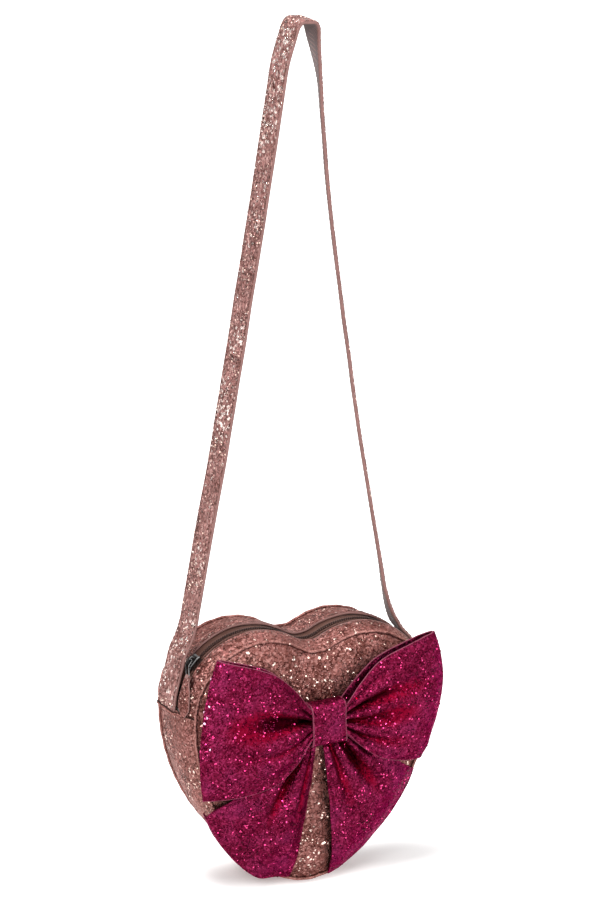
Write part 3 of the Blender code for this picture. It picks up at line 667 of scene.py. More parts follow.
def puffCloth(piece, facing, perRow):
    # lets the cloth out over its padding; the simulation runs enlarged, where it is steadier
    p = padSet
    started = time.time()
    scene = bpy.context.scene
    mesh = piece.data
    before = [v.co.copy() for v in mesh.vertices]
    middle = sum(before, Vector()) / len(before)
    for v in mesh.vertices:
        v.co = (v.co - middle) * p["scale"]
    sewn = piece.vertex_groups.new(name="sewn")
    for row, weight in p["held"].items():
        sewn.add(list(range(row * perRow, (row + 1) * perRow)), weight, "REPLACE")
    puff = piece.modifiers.new("puff", "CLOTH")
    for name, value in p["cloth"].items():
        setattr(puff.settings, name, value)
    puff.settings.effector_weights.gravity = 0.0
    puff.collision_settings.use_collision = False
    puff.point_cache.frame_start = 1
    puff.point_cache.frame_end = p["frames"]
    for step in range(1, p["frames"] + 1):
        scene.frame_set(step)
    swollen = piece.evaluated_get(bpy.context.evaluated_depsgraph_get())
    after = [v.co / p["scale"] + middle for v in swollen.data.vertices]
    piece.modifiers.remove(puff)
    piece.vertex_groups.clear()
    scene.frame_set(1)
    limit = p["outward"] * mm
    for v, start, end in zip(mesh.vertices, before, after):
        move = end - start
        move.x = min(max(move.x, -limit / 2), limit / 2)
        move.y = facing * max(limit * math.tanh(move.y * facing / limit), -p["inward"] * mm)
        move.z = min(max(move.z, -limit / 2), limit / 2)
        v.co = start + move
    mesh.update()
    print(f"{piece.name}: cloth settled in {time.time() - started:.1f} s")


panelSet = {
    # how far in from the seam each row lies; the first is tucked under the seam's edge
    "insets": (0.35, 1.3, 1.9, 2.6, 3.6, 4.8, 6.3, 8.0, 10.0, 12.2, 14.6, 17.2, 20.0, 23.0, 26.0, 28.5),
    "tucked": 1.0, "tuckDepth": 0.30, "clear": 0.1, "gather": 0.35, "gatherReach": 2.2, "gatherTurn": 1.35,
    "rings": 12, "ringShare": 12.6, "middle": (0.0, -14.0), "middleSize": 12.0, "cloth": 1.2,
}


def buildPanel(side, facing, height, seed):
    p = panelSet
    stations = wholeRun(body["step"])
    level = body["halfDepth"] + p["clear"]
    middle = Vector(p["middle"])

    def placed(x, z, y):
        y += wobble((x, 0, z), 16.0, 0.55, seed) + wobble((x, 0, z), 7.0, 0.22, seed)
        return Vector((x, facing * y, z))

    rows = []
    for inset in p["insets"]:
        row = []
        for index, station in enumerate(stations):
            x, z = spot(station, -inset)
            gather = p["gather"] * math.exp(-inset / p["gatherReach"])
            gather *= 0.5 + 0.5 * math.cos(index * p["gatherTurn"])
            row.append(placed(x, z, level + domeRise(inset, height) - gather))
            if inset < p["tucked"]:
                row[-1].y = facing * (level - p["tuckDepth"])
        rows.append(row)
    rim = [Vector((point.x, point.z)) for point in rows[-1]]
    for step in range(1, p["rings"] + 1):
        share = 1 - step / p["ringShare"]
        rows.append([placed(*(middle + (place - middle) * share), level + height) for place in rim])
    piece = gridPiece(side + "_cloth", rows, "rose", ringed=True)
    data = bmesh.new()
    data.from_mesh(piece.data)
    centre = toWorld((middle.x, facing * (level + height), middle.y))
    bmesh.ops.edgeloop_fill(data, edges=[
        edge for edge in data.edges
        if edge.is_boundary and (edge.verts[0].co - centre).length < p["middleSize"] * mm
    ])
    bmesh.ops.recalc_face_normals(data, faces=data.faces)
    if sum(face.normal.y * facing for face in data.faces) < 0:
        bmesh.ops.reverse_faces(data, faces=data.faces)
    data.to_mesh(piece.data)
    data.free()
    puffCloth(piece, facing, len(stations))
    thicken(piece, p["cloth"], -1.0)
    wear(piece, "rose_glitter", f"{side}_panel")
    return piece


seamSet = {"out": 0.25, "deep": 0.95, "high": 1.05, "lift": 0.30, "wave": 0.16, "waveTurn": 0.9, "corners": 8}


def buildSeamEdge(side, facing):
    # the turned seam edge that stands up round a panel
    s = seamSet
    rows = []
    for index, station in enumerate(wholeRun(body["fineStep"])):
        wave = s["wave"] * math.sin(index * s["waveTurn"]) + wobble(onBag(station, 0, 0), 9.0, 0.25, facing)
        row = []
        for corner in range(s["corners"]):
            turn = math.tau * corner / s["corners"]
            y = facing * (body["halfDepth"] + s["out"]) + s["deep"] * math.cos(turn)
            row.append(onBag(station, y, s["lift"] + wave + s["high"] * math.sin(turn)))
        rows.append(row)
    # the seam edge takes the lighter glitter copy, a painted highlight on its crest
    piece = gridPiece(side + "_seam_edge", rows, "crestLitRose", ringed=True, looped=True)
    wear(piece, "seam_brown", f"{side}_piping")


stripSet = {
    "drop": 0.5, "sunk": 1.8, "sink": 0.7, "ridge": 0.35, "ridgeWidth": 1.3, "cloth": 1.0, "spare": 0.4,
}


def stripRows(stations, lowY, highY, count, seed):
    # rows over the gusset from one y to another, crowned, with soft dents and sunken ends
    s = stripSet
    rows = []
    lengths = runLengths(stations)
    for station, length in zip(stations, lengths):
        fromEnd = min(length, lengths[-1] - length)
        fold = s["ridge"] * bell(fromEnd, s["sunk"] + 0.8, s["ridgeWidth"])
        fold -= s["sink"] * bell(fromEnd, 0.0, s["sunk"])
        row = []
        for i in range(count + 1):
            y = mix(lowY, highY, i / count)
            x, z = spot(station, 0.0)
            soft = wobble((x, y * 0.45, z), 13.0, 0.75, seed) + wobble((x, y * 0.7, z), 5.5, 0.22, seed)
            soft *= smooth(1.0, 7.0, min(abs(y + body["halfDepth"]), abs(y - body["halfDepth"])))
            row.append(onBag(station, y, crown(y) - s["drop"] + soft + fold))
        rows.append(row)
    return rows


def buildGusset():
    edge = body["halfDepth"] - body["edge"] + stripSet["spare"]
    rows = stripRows(wholeSide(1, body["fineStep"]), -edge, edge, 34, 3.0)
    piece = gridPiece("gusset_cloth", rows, "rose", thick=stripSet["cloth"])
    return wear(piece, "rose_glitter", "gusset_lower")


ridgeSet = {"end": 27.8, "radius": 0.85, "sunk": 0.35, "over": 2.35, "ease": 1.6, "z": -1.1, "rise": 0.4}
grooveShadeSet = {"out": 0.28, "z": 1.05, "radius": 0.55}


def buildSideSeams():
    # the sewn fold across the gusset at each side seam, which passes over the strap's foot
    r, g = ridgeSet, grooveShadeSet
    near = strapSet["y"] - strapSet["width"] / 2
    far = strapSet["y"] + strapSet["width"] / 2
    for side, flip in (("left", -1), ("right", 1)):
        path = []
        for i in range(60):
            y = mix(-r["end"], r["end"], i / 59)
            over = smooth(near - r["ease"], near, y) * (1 - smooth(far, far + r["ease"], y))
            low = body["lobeOffset"] + body["lobeRadius"] + crown(y) - r["sunk"]
            reach = mix(low, strapSet["spread"] + r["over"], over)
            z = r["z"] + r["rise"] * over + wobble((0, y, 0), 8.0, 0.3, flip)
            path.append(Vector((flip * reach, y, z)))
        # a dark tube in the groove beside each seam ridge: painted shade where the groove is shaded
        grooveShade = [point + Vector((flip * g["out"], 0.0, g["z"])) for point in path]
        for name, line, radius, look in (
            # the ridge takes the lighter glitter copy, a painted highlight
            (f"side_seam_{side}", path, r["radius"], "crestLitRose"),
            (f"side_seam_groove_{side}", grooveShade, g["radius"], "shade"),
        ):
            wear(tube(name, line, radius, look, up=(1, 0, 0), flat=0.8), "seam_brown")


def evenStations(stations, pitch):
    out = []
    for i, t in evenly(runLengths(stations), pitch / 2, pitch):
        a, b = stations[i], stations[i + 1]
        if a[:4] == b[:4]:
            out.append((*a[:4], mix(a[4], b[4] - math.tau * round((b[4] - a[4]) / math.tau), t)))
        else:
            out.append(b if t > 0.5 else a)
    return out


def stationFrame(station, y, outward):
    # point, direction along the run and outward direction at a station
    side, turn = station[3:]
    out = Vector((math.cos(turn), 0, math.sin(turn))) * side
    return onBag(station, y, outward), Vector((-math.sin(turn), 0, math.cos(turn))), out


stitchSet = {
    "pitch": 3.1, "in": 2.3, "up": 0.12, "shape": (2.2, 0.24, 0.22),
    "tapePitch": 2.2, "tapeIn": 0.9, "tapeUp": -0.02, "tapeShape": (1.5, 0.17, 0.16),
}
foldSet = {"sunk": 0.55, "radius": 0.75, "flat": 0.85}
ribbonSet = {"end": 0.8, "across": 8, "drop": 0.3, "sag": 0.25, "rise": 0.35, "cloth": 0.55}
toothSet = {"apart": 0.5, "shape": (1.9, 0.34, 0.55)}
cordSet = {"out": 0.1, "up": 0.25, "radius": 0.42}


def buildZip():
    z = zipSet
    t = stitchSet
    strips = []
    top = wholeSide(0, body["fineStep"])
    short = trimmed(wholeSide(0, 1.2), z["end"])
    stitches, tapeStitches = [], []
    for side, facing, count in (("front", -1, 10), ("back", 1, 18)):
        near = z["y"] + facing * z["slit"]
        coilFar = near + facing * z["coil"]
        mouth = coilFar + facing * z["shown"]
        edge = facing * (body["halfDepth"] - body["edge"] + stripSet["spare"])
        rows = stripRows(top, edge, mouth, count, 7.0 + facing)
        piece = gridPiece(f"zip_strip_{side}", rows, "rose", thick=stripSet["cloth"])
        strips.append(wear(piece, "rose_glitter", f"zip_gusset_{side}"))
        fold = []
        for station in top:
            point, _, out = stationFrame(station, mouth, crown(mouth) - foldSet["sunk"])
            fold.append(point + out * wobble(point, 11.0, 0.3, facing))
        roll = tube(f"zip_fold_{side}", fold, foldSet["radius"], "roseFold", flat=foldSet["flat"])
        wear(roll, "seam_brown")
        # satin tape, a little slack between the fold and the teeth
        rows = []
        for station in trimmed(top, ribbonSet["end"]):
            row = []
            for i in range(ribbonSet["across"] + 1):
                share = i / ribbonSet["across"]
                sag = -ribbonSet["sag"] * math.sin(math.pi * min(1.0, share * 1.3))
                sag += ribbonSet["rise"] * smooth(0.5, 1.0, share)
                y = mix(near, near + facing * z["tapeWidth"], share)
                row.append(onBag(station, y, z["tapeLevel"] - ribbonSet["drop"] + sag))
            rows.append(row)
        tape = gridPiece(f"zip_ribbon_{side}", rows, "tape", thick=ribbonSet["cloth"])
        wear(tape, "zip_tape", f"zip_tape_{side}")
        line = mouth + facing * t["in"]
        stitches += [stationFrame(s, line, crown(line) + t["up"]) for s in evenStations(top, t["pitch"])]
        line = coilFar + facing * t["tapeIn"]
        tapeStitches += [
            stationFrame(s, line, z["tapeLevel"] + t["tapeUp"]) for s in evenStations(short, t["tapePitch"])
        ]
    row = stampRow("zip_topstitch", stitches, capsule("stitch", *t["shape"]), "thread")
    wear(row, "seam_brown")
    row = stampRow("zip_tape_stitch", tapeStitches, capsule("tapeStitch", *t["tapeShape"]), "teeth")
    wear(row, "zip_tape")
    # interlocked nylon teeth: each row half a pitch from the other
    teeth = []
    middle = (z["coilBase"] + z["coilTop"]) / 2
    for index, station in enumerate(evenStations(short, z["pitch"] / 2)):
        facing = -1 if index % 2 else 1
        point, _, out = stationFrame(station, z["y"] + facing * toothSet["apart"], middle)
        teeth.append((point, Vector((0, 1, 0)), out))
    row = stampRow("zip_teeth", teeth, capsule("tooth", *toothSet["shape"], sides=8, rings=6), "teeth")
    wear(row, "zip_teeth", "zip_coil_front", "zip_coil_back")
    # cords that the coils are sewn over, on each side of the teeth
    for side, facing in (("front", -1), ("back", 1)):
        y = z["y"] + facing * (z["slit"] + z["coil"] + cordSet["out"])
        path = [onBag(station, y, z["tapeLevel"] + cordSet["up"]) for station in short]
        wear(tube(f"zip_cord_{side}", path, cordSet["radius"], "tape", sides=6), "zip_tape")
    return strips


sliderSet = {
    "angle": math.radians(142.0), "half": 4.5, "wide": 3.8, "foot": 3.0, "top": 5.75, "round": 0.55,
    "wall": 0.7, "neck": 0.45, "bridge": 2.0, "wire": 0.42,
}
# the wire link and the tab
pullSet = {
    "level": 6.65, "straight": 3.6, "drop": 9.0, "arm": 2.1, "wire": 0.55, "clear": 1.1, "aside": 5.0,
    "length": 25.0, "settled": 9.0, "rest": 0.95, "narrow": 3.2, "wide": 5.3, "pointed": 19.0, "cloth": 0.9,
}


def lobeSpot(length, y, level):
    # a place over the left lobe, length being how far down the lobe it is from the slider's middle
    angle = sliderSet["angle"] + length / body["lobeRadius"]
    reach = body["lobeRadius"] + level
    return Vector((-body["lobeOffset"] + reach * math.cos(angle), y, reach * math.sin(angle)))


def buildSlider():
    z, s = zipSet, sliderSet
    under = z["coilTop"] + 0.6
    foot = z["tapeLevel"] + 0.3
    base = z["tapeLevel"] - z["tape"] - 0.4
    rows = []
    for i in range(13):
        t = i / 12
        wide = s["wide"] * (0.74 + 0.26 * math.sin(math.pi * (0.10 + 0.52 * t)))
        low = s["foot"] * wide / s["wide"]
        top = s["top"] - s["round"] * (1 - min(1.0, 8 * t * (1 - t)))
        right = [
            (wide - 0.5, top), (wide, top - 0.4), (wide, foot), (wide - s["wall"], foot),
            (wide - s["wall"], under), (s["neck"], under), (s["neck"], base), (low, base), (low, base - 0.7),
            (low - 0.4, base - 1.0),
        ]
        section = right + [(-y, level) for y, level in reversed(right)]
        rows.append([lobeSpot(s["half"] * (1 - 2 * t), z["y"] + y, level) for y, level in section])
    piece = gridPiece("zip_slider_body", rows, "metal", ringed=True, capped=True, sharp=35.0)
    wear(piece, "gunmetal", "zip_slider", on="slider")
    rise = ((1.0, -0.1), (1.0, 0.9), (0.92, 1.7), (0.70, 2.3), (0.35, 2.55))
    path = [
        lobeSpot(s["bridge"] * share, z["y"], s["top"] + level)
        for share, level in (*((-share, level) for share, level in rise), (0.0, 2.6), *reversed(rise))
    ]
    arch = tube("zip_bridge_arch", path, s["wire"], "metal", up=(0, 1, 0), flat=2.0)
    wear(arch, "gunmetal", "zip_bridge", on="slider")


def buildPull():
    z, p = zipSet, pullSet
    farY = strapSet["y"] - strapSet["width"] / 2 - p["clear"] - p["aside"]
    # wire link: from the pin in the bridge round the tab's folded end
    corners = [
        lobeSpot(length, y, p["level"]) for length, y in (
            (0.0, z["y"] + p["arm"]), (0.0, z["y"] - p["arm"]), (p["straight"], z["y"] - p["arm"]),
            (p["drop"], farY - p["arm"]), (p["drop"], farY + p["arm"]), (p["straight"], z["y"] + p["arm"]),
        )
    ]
    path = []
    for index, here in enumerate(corners):
        before, after = corners[index - 1], corners[(index + 1) % len(corners)]
        bend = min(1.0, 0.35 * min((here - before).length, (here - after).length))
        start = here + (before - here).normalized() * bend
        end = here + (after - here).normalized() * bend
        path += [start * (1 - t) ** 2 + here * 2 * t * (1 - t) + end * t ** 2 for t in (0, 1 / 3, 2 / 3, 1)]
    upward = lobeSpot(p["drop"] / 2, 0, 10) - lobeSpot(p["drop"] / 2, 0, 0)
    link = tube("zip_pull_wire", path, p["wire"], "metal", looped=True, up=upward)
    wear(link, "gunmetal", "zip_pull_loop", on="pull")
    # glitter tab with a pointed end, folded over the wire at its top
    rows = []
    for i in range(27):
        length = p["length"] * i / 26
        wide = mix(p["narrow"], p["wide"], smooth(0.0, 14.0, length))
        wide *= 1 - 0.93 * max(0.0, (length - p["pointed"]) / (p["length"] - p["pointed"]))
        row = []
        for j in range(9):
            across = 2 * j / 8 - 1
            y = farY - 2.6 * smooth(4.0, 23.0, length) + across * wide
            down = smooth(0, 1, min(1.0, length / p["settled"]))
            level = mix(p["level"], crown(y) + p["rest"], down) + 0.35 * (1 - across ** 2)
            row.append(lobeSpot(p["drop"] + length - 0.2, y, level))
        rows.append(row)
    tab = gridPiece("zip_pull_cloth", rows, "rose", thick=p["cloth"])
    wear(tab, "rose_glitter", "zip_pull_tab", on="pull")
    rim = [row[0] for row in rows] + [row[-1] for row in reversed(rows)]
    wear(tube("zip_pull_rim", rim, 0.50, "roseFold", looped=True, sides=6), "rose_glitter", on="pull")
    around = []
    for i in range(10):
        turn = math.tau * i / 10
        down, level = p["drop"] + 1.15 * math.cos(turn), p["level"] + 1.15 * math.sin(turn)
        around.append([lobeSpot(down, farY + mix(-1.9, 1.9, j / 4), level) for j in range(5)])
    wrap = gridPiece("zip_pull_wrap", around, "roseFold", thick=0.5, looped=True)
    wear(wrap, "rose_glitter", on="pull")
    return tab


strapSet = {
    "width": 25.0, "y": 3.5, "rise": 449.0, "lean": -16.0, "spread": 90.2, "turn": math.radians(24.0),
    # height, middle, spread and the right leg's turn, each as a share
    "run": (
        (0.0000, 0.00, 1.000, 0.00), (0.0223, 0.01, 0.990, 0.01), (0.0445, 0.02, 0.967, 0.04),
        (0.0668, 0.10, 0.928, 0.12), (0.0780, 0.19, 0.902, 0.18), (0.0891, 0.26, 0.868, 0.28),
        (0.1002, 0.28, 0.840, 0.40), (0.1114, 0.30, 0.817, 0.54), (0.1225, 0.32, 0.799, 0.66),
        (0.1336, 0.34, 0.784, 0.76), (0.1470, 0.37, 0.770, 0.85), (0.1580, 0.39, 0.758, 0.90),
        (0.2000, 0.43, 0.722, 0.97), (0.2900, 0.53, 0.637, 1.00), (0.3830, 0.62, 0.550, 1.00),
        (0.5570, 0.78, 0.407, 1.00), (0.7390, 0.91, 0.265, 1.00), (0.8570, 0.94, 0.188, 1.00),
        (0.9090, 0.95, 0.157, 0.92), (0.9420, 0.97, 0.130, 0.65), (0.9720, 0.95, 0.095, 0.30),
        (0.9930, 0.92, 0.070, 0.05), (1.0000, 0.91, 0.045, 0.00),
    ),
    "edge": 0.95, "middle": 1.05, "face": 1.95, "swell": 0.30, "border": 0.75, "thread": (2.4, 0.22, 0.18),
    "stitch": 3.4, "stitchStart": 3.0, "stitchIn": 2.0, "stitchLevels": (2.34, -0.02),
    "bendTop": 46.0, "bendFoot": 2.0, "bendY": -8.0,
}


def strapPath():
    # points under the strap with the turn of its width, from the left seam over the top to the right
    s = strapSet
    rows = [Vector(row) for row in s["run"]]
    half = []
    for i in range(len(rows) - 1):
        first, start, end, last = rows[max(i - 1, 0)], rows[i], rows[i + 1], rows[min(i + 2, len(rows) - 1)]
        count = max(4, round((end.x - start.x) * s["rise"] / 3.2))
        for t in (step / count for step in range(count)):
            half.append(0.5 * (
                2 * start + (end - first) * t + (2 * first - 5 * start + 4 * end - last) * t ** 2
                + (3 * start - first - 3 * end + last) * t ** 3
            ))
    half.append(rows[-1])
    left, right = [], []
    for height, lean, spread, turn in half:
        middle, out, z = s["lean"] * lean, spread * s["spread"], height * s["rise"]
        left.append((Vector((middle - out, s["y"], z)), 0.0))
        right.append((Vector((middle + out, s["y"], z)), turn * s["turn"]))
    return left + list(reversed(right))


def strapFrames():
    # at each point of the strap: the point, and the directions along, across and outward
    path = strapPath()
    frames = []
    for index, (point, turn) in enumerate(path):
        along = (path[min(index + 1, len(path) - 1)][0] - path[max(index - 1, 0)][0]).normalized()
        across = Vector((math.sin(turn), math.cos(turn), 0))
        across = (across - along * across.dot(along)).normalized()
        frames.append((point, along, across, along.cross(across)))
    return frames


def strapSpot(place, y, level):
    point, along, across, outward = place
    ripple = wobble((point.x, point.y + y * 0.4, point.z), 26.0, 0.28, 5.0)
    return point + across * y + outward * (level + ripple)


def buildStrap():
    s = strapSet
    half = s["width"] / 2
    frames = strapFrames()

    def layer(name, section, look, **how):
        # section gives (distance from the strap's middle, level above its underside)
        rows = [[strapSpot(place, y, level) for y, level in section] for place in frames]
        return gridPiece(name, rows, look, **how)

    section = []
    for first, side in ((math.pi / 2, 1), (-math.pi / 2, -1)):
        for turn in (first - math.pi * i / 6 for i in range(7)):
            y = side * (half - s["edge"]) + s["edge"] * math.cos(turn)
            section.append((y, s["middle"] + s["edge"] * math.sin(turn)))
    wrap = layer("strap_wrap", section, "roseFold", ringed=True, capped=True)
    section = [(mix(-half + 1.9, half - 1.9, i / 8), 0.12) for i in range(9)]
    lining = layer("strap_inner", section, "backing", thick=0.3)
    section = []
    for across in (2 * i / 14 - 1 for i in range(15)):
        section.append((across * (half - s["border"]), s["face"] + s["swell"] * (1 - across ** 4)))
    # the strap's face takes the lighter copy of the glitter, painted light
    face = layer("strap_glitter", section, "litStrapRose", thick=0.35)
    stitches = []
    for i, t in evenly(lengthsAlong([place[0] for place in frames]), s["stitchStart"], s["stitch"]):
        a, b = frames[i], frames[i + 1]
        place = (a[0].lerp(b[0], t), a[1], a[2].lerp(b[2], t), a[3].lerp(b[3], t))
        for y in (-half + s["stitchIn"], half - s["stitchIn"]):
            for level in s["stitchLevels"]:
                stitches.append((strapSpot(place, y, level), place[1], place[3]))
    row = stampRow("strap_topstitch", stitches, capsule("strapStitch", *s["thread"]), "thread")
    skin = addFlakes(face, "rose", *flakeSet["strap"], 11, 0.14)
    start, end = (tuple(toWorld((0, s["bendY"], z))) for z in (s["bendTop"], s["bendFoot"]))
    for piece, slot in (
        (wrap, "strap_backing"), (lining, "strap_backing"), (face, "rose_glitter"), (row, "seam_brown"),
        (skin, "rose_glitter"),
    ):
        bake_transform(piece)
        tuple(start)
        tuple(end)
    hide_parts("strap_backing")
    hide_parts("strap_face")


bowSet = {
    "z": -4.0, "tilt": math.radians(4.5), "back": 39.1, "depth": 15.0, "wall": 1.6, "clear": 0.3,
    # the fold depth at which the painted fold shade is full
    "foldDepth": 8.0,
}
loopSet = {
    "reach": 87.0, "half": {-1: 46.5, 1: 42.0}, "rise": {-1: 9.5, 1: 6.8}, "topEdge": {-1: 0.40, 1: 0.15},
    "lowEdge": 0.62, "bulge": 8.0, "cloth": 1.2, "rows": 96, "across": 56, "edge": 0.62, "edgeFrom": 0.14,
    "lean": {-1: (0.020, -0.080, -0.070), 1: (-0.025, 0.070, -0.125)},
    # pleats of each loop: place across at the knot and at the tip, width at both, depth at both
    "pleats": {
        -1: ((0.16, 0.02, 0.17, 0.40, 8.6, 1.8), (-0.50, -0.46, 0.09, 0.16, 3.6, 0.6),
             (0.62, 0.66, 0.10, 0.22, 2.2, 0.5), (-0.86, -0.80, 0.08, 0.12, 2.4, 0.4)),
        1: ((0.34, 0.30, 0.12, 0.20, 7.4, 1.2), (-0.18, -0.10, 0.14, 0.30, 6.4, 1.4),
            (-0.66, -0.60, 0.10, 0.20, 4.2, 0.8), (0.74, 0.70, 0.09, 0.18, 2.4, 0.6)),
    },
    # the strip seen from above, out over the front and back behind: reach, depth and bulge as shares
    "plan": (
        (0.008, 1.00, 0.00), (0.150, 1.00, 0.00), (0.300, 1.00, 0.70), (0.500, 1.00, 1.00),
        (0.720, 1.00, 0.85), (0.900, 0.95, 0.35), (0.985, 0.80, 0.00), (1.000, 0.60, 0.00),
        (0.975, 0.44, 0.00), (0.850, 0.36, 0.00), (0.600, 0.32, 0.00), (0.320, 0.17, 0.00),
        (0.150, 0.00, 0.00), (0.008, 0.00, 0.00),
    ),
    "heights": (
        (0.000, 0.205), (0.130, 0.205), (0.270, 0.510), (0.420, 0.760), (0.570, 0.880), (0.800, 0.965),
        (1.000, 1.000),
    ),
}
# brighter flakes on the left loop's fold: a painted highlight where it catches the light, though each flake
# still glints by reflection
sparkleSet = {
    "rows": slice(44, 50), "across": slice(18, -4), "density": 0.050, "size": 0.72, "seed": 71, "pale": 0.50,
    "lift": 0.75,
}


def bowPoint(x, y, z):
    # from the bow's own place, tilted about the knot, to the bag's
    c, s = math.cos(bowSet["tilt"]), math.sin(bowSet["tilt"])
    return Vector((x * c - z * s, y, bowSet["z"] + x * s + z * c))


def loopPleats(side, reach, across):
    # how far the front layer falls back in its pleats, which run out from the knot
    near = smooth(0.02, 0.16, reach)
    far = 1 - smooth(0.34, 0.98, reach)
    depth = 0.0
    for root, tip, thin, wide, deep, left in loopSet["pleats"][side]:
        width = mix(thin, wide, smooth(0.1, 0.9, reach))
        depth += mix(left, deep, far) * bell(across, mix(root, tip, reach), width)
    return depth * near


def buildLoop(side):
    b, s = bowSet, loopSet
    name = "left" if side < 0 else "right"
    boreBack = b["back"] + b["wall"] + b["clear"]
    boreFront = b["back"] + b["depth"] - b["wall"] - b["clear"]
    places = [(reach * s["reach"], mix(boreBack, boreFront, way), bulge) for reach, way, bulge in s["plan"]]
    steps = (math.hypot(after[0] - here[0], after[1] - here[1]) for here, after in zip(places, places[1:]))
    lengths = list(accumulate(steps, initial=0.0))
    tables = [[(length / lengths[-1], place[k]) for length, place in zip(lengths, places)] for k in range(3)]
    lean = s["lean"][side]
    rows, paintedFoldShade, topEdge, lowEdge = [], [], [], []
    for i in range(s["rows"] + 1):
        u = i / s["rows"]
        x, depth, bulge = (through(table, u) for table in tables)
        reach = x / s["reach"]
        front = u < 0.5
        half = s["half"][side] * through(s["heights"], reach)
        outer = max(0.0, reach - 0.45) / 0.55
        root = 1 - smooth(0.03, 0.17, reach)
        free = smooth(0.15, 0.5, reach)
        loose = smooth(0.10, 0.35, reach) * (1 - smooth(0.5, 1.0, reach))
        row = []
        for j in range(s["across"] + 1):
            across = 2 * j / s["across"] - 1
            out, fold = depth, 0.0
            if front:
                edge = s["topEdge"][side] if across > 0 else s["lowEdge"]
                out += s["bulge"] * max(0.0, bulge) * mix(edge, 1.0, 1 - across ** 2)
                fold = loopPleats(side, reach, across)
                out -= fold + 1.6 * smooth(0.80, 1.0, abs(across)) * smooth(0.1, 0.4, reach)
            else:
                out += 0.9 * math.cos(across * 7.0) * loose
            out -= 0.55 * root * (1 if front else -1) * (0.5 + 0.5 * math.cos(across * 15.0))
            reachX = x * (1 + (lean[0] + lean[1] * across + lean[2] * across ** 2) * outer ** 2)
            z = s["rise"][side] * reach + half * across
            z += smooth(0.80, 1.0, reach) * wobble((0, 0, z), 30.0, 1.2, side)
            place = bowPoint(side * reachX, -out, z)
            place.y += wobble(place, 14.0, 0.75, 3.0 * side) * free
            place.y += wobble(place, 6.0, 0.28, 5.0 * side) * free
            row.append(place)
            # the fold's depth as a share, for the painted shade in the folds
            paintedFoldShade.append(fold / b["foldDepth"])
        rows.append(row)
        if reach > s["edgeFrom"]:
            topEdge.append(row[-1])
            lowEdge.append(row[0])
    # brighter flakes along the left loop's fold: painted highlight
    if side < 0:
        p = sparkleSet
        band = gridPiece("bow_loop_sparkle", [row[p["across"]] for row in rows[p["rows"]]], None)
        sparkle = addFlakes(band, "fold", p["density"], p["size"], p["seed"], p["pale"], p["lift"])
        bpy.data.objects.remove(band)
        wear(sparkle, "magenta_glitter")
    piece = gridPiece(f"bow_loop_cloth_{name}", rows, "magenta", thick=s["cloth"], paintedFoldShade=paintedFoldShade)
    wear(piece, "magenta_glitter", f"bow_loop_{name}")
    for label, path in (("top", topEdge), ("low", lowEdge)):
        rim = tube(f"bow_loop_{label}_edge_{name}", path, s["edge"], "magentaFold", sides=6)
        wear(rim, "magenta_glitter")
    return piece


knotSet = {"width": 25.0, "height": 28.0, "corner": 5.0, "inset": 0.4, "cloth": 1.3, "edge": 0.78}


def buildKnot():
    k = knotSet
    halfDepth, halfHeight, corner = bowSet["depth"] / 2, k["height"] / 2, k["corner"]
    outline = []
    for signY, signZ, first in ((-1, 1, 90), (-1, -1, 180), (1, -1, 270), (1, 1, 0)):
        for turn in (math.radians(first + 90 * step / 6) for step in range(7)):
            y = signY * (halfDepth - corner) + corner * math.cos(turn)
            outline.append((y, signZ * (halfHeight - corner) + corner * math.sin(turn)))
        if signY == -1 and signZ == 1:
            high, low = halfHeight - corner, -halfHeight + corner
            outline += [(outline[-1][0], mix(high, low, step / 10)) for step in range(1, 10)]
    rows = []
    for y, z in outline:
        row = []
        frontness = smooth(-halfDepth + 3.0, -halfDepth, y)
        for across in (2 * j / 14 - 1 for j in range(15)):
            x = across * (k["width"] / 2 - k["inset"]) * (1 - 0.06 * math.cos(z / halfHeight * 1.4))
            shrink = 0.6 * across ** 2 * math.cos(z / halfHeight * 1.5)
            crease = 0.55 * bell(across, -0.35 + 0.12 * math.sin(z / 5), 0.10)
            crease += 0.40 * bell(across, 0.42, 0.12) * smooth(12.0, -6.0, z)
            swell = 0.5 * (1 - across ** 2)
            back = y - bowSet["back"] - halfDepth + frontness * (shrink + crease - swell + 0.7)
            row.append(bowPoint(x, back, z * (1 - 0.02 * (1 - across ** 2))))
        rows.append(row)
    piece = gridPiece("bow_knot_cloth", rows, "magenta", thick=k["cloth"], looped=True)
    wear(piece, "magenta_glitter", "bow_knot")
    for label, end in (("left", 0), ("right", -1)):
        path = [row[end] for row in rows]
        name = f"bow_knot_edge_{label}"
        rim = tube(name, path, k["edge"], "magentaFold", sides=6, looped=True, up=(1, 0, 0))
        wear(rim, "magenta_glitter")
    return piece


tailSet = {
    "topHalf": 10.0, "topDrop": 5.0, "split": 0.6, "clear": 0.8, "puff": 8.0, "cloth": 1.2, "overhang": 10.0,
    "inner": math.radians(7.5), "outer": {-1: math.radians(50.5), 1: math.radians(58.5)},
    "innerLift": {-1: 0.30, 1: 0.55}, "rows": 64, "lipRows": 5, "across": 60,
    # how much of the overhang each place across the tail's end has
    "reach": {
        -1: ((0.00, -0.20), (0.10, 0.15), (0.24, 0.85), (0.40, 1.00), (0.80, 0.95), (1.00, 0.80)),
        1: ((0.00, 0.05), (0.50, 0.03), (0.80, 0.08), (1.00, 0.00)),
    },
    # place across at the knot and at the end, width and depth
    "pleats": {
        -1: ((0.15, 0.13, 0.07, 5.0), (0.52, 0.46, 0.09, 7.6), (0.82, 0.80, 0.06, 3.0)),
        1: ((0.24, 0.28, 0.10, 5.0), (0.60, 0.62, 0.10, 7.6), (0.88, 0.86, 0.06, 2.6)),
    },
}


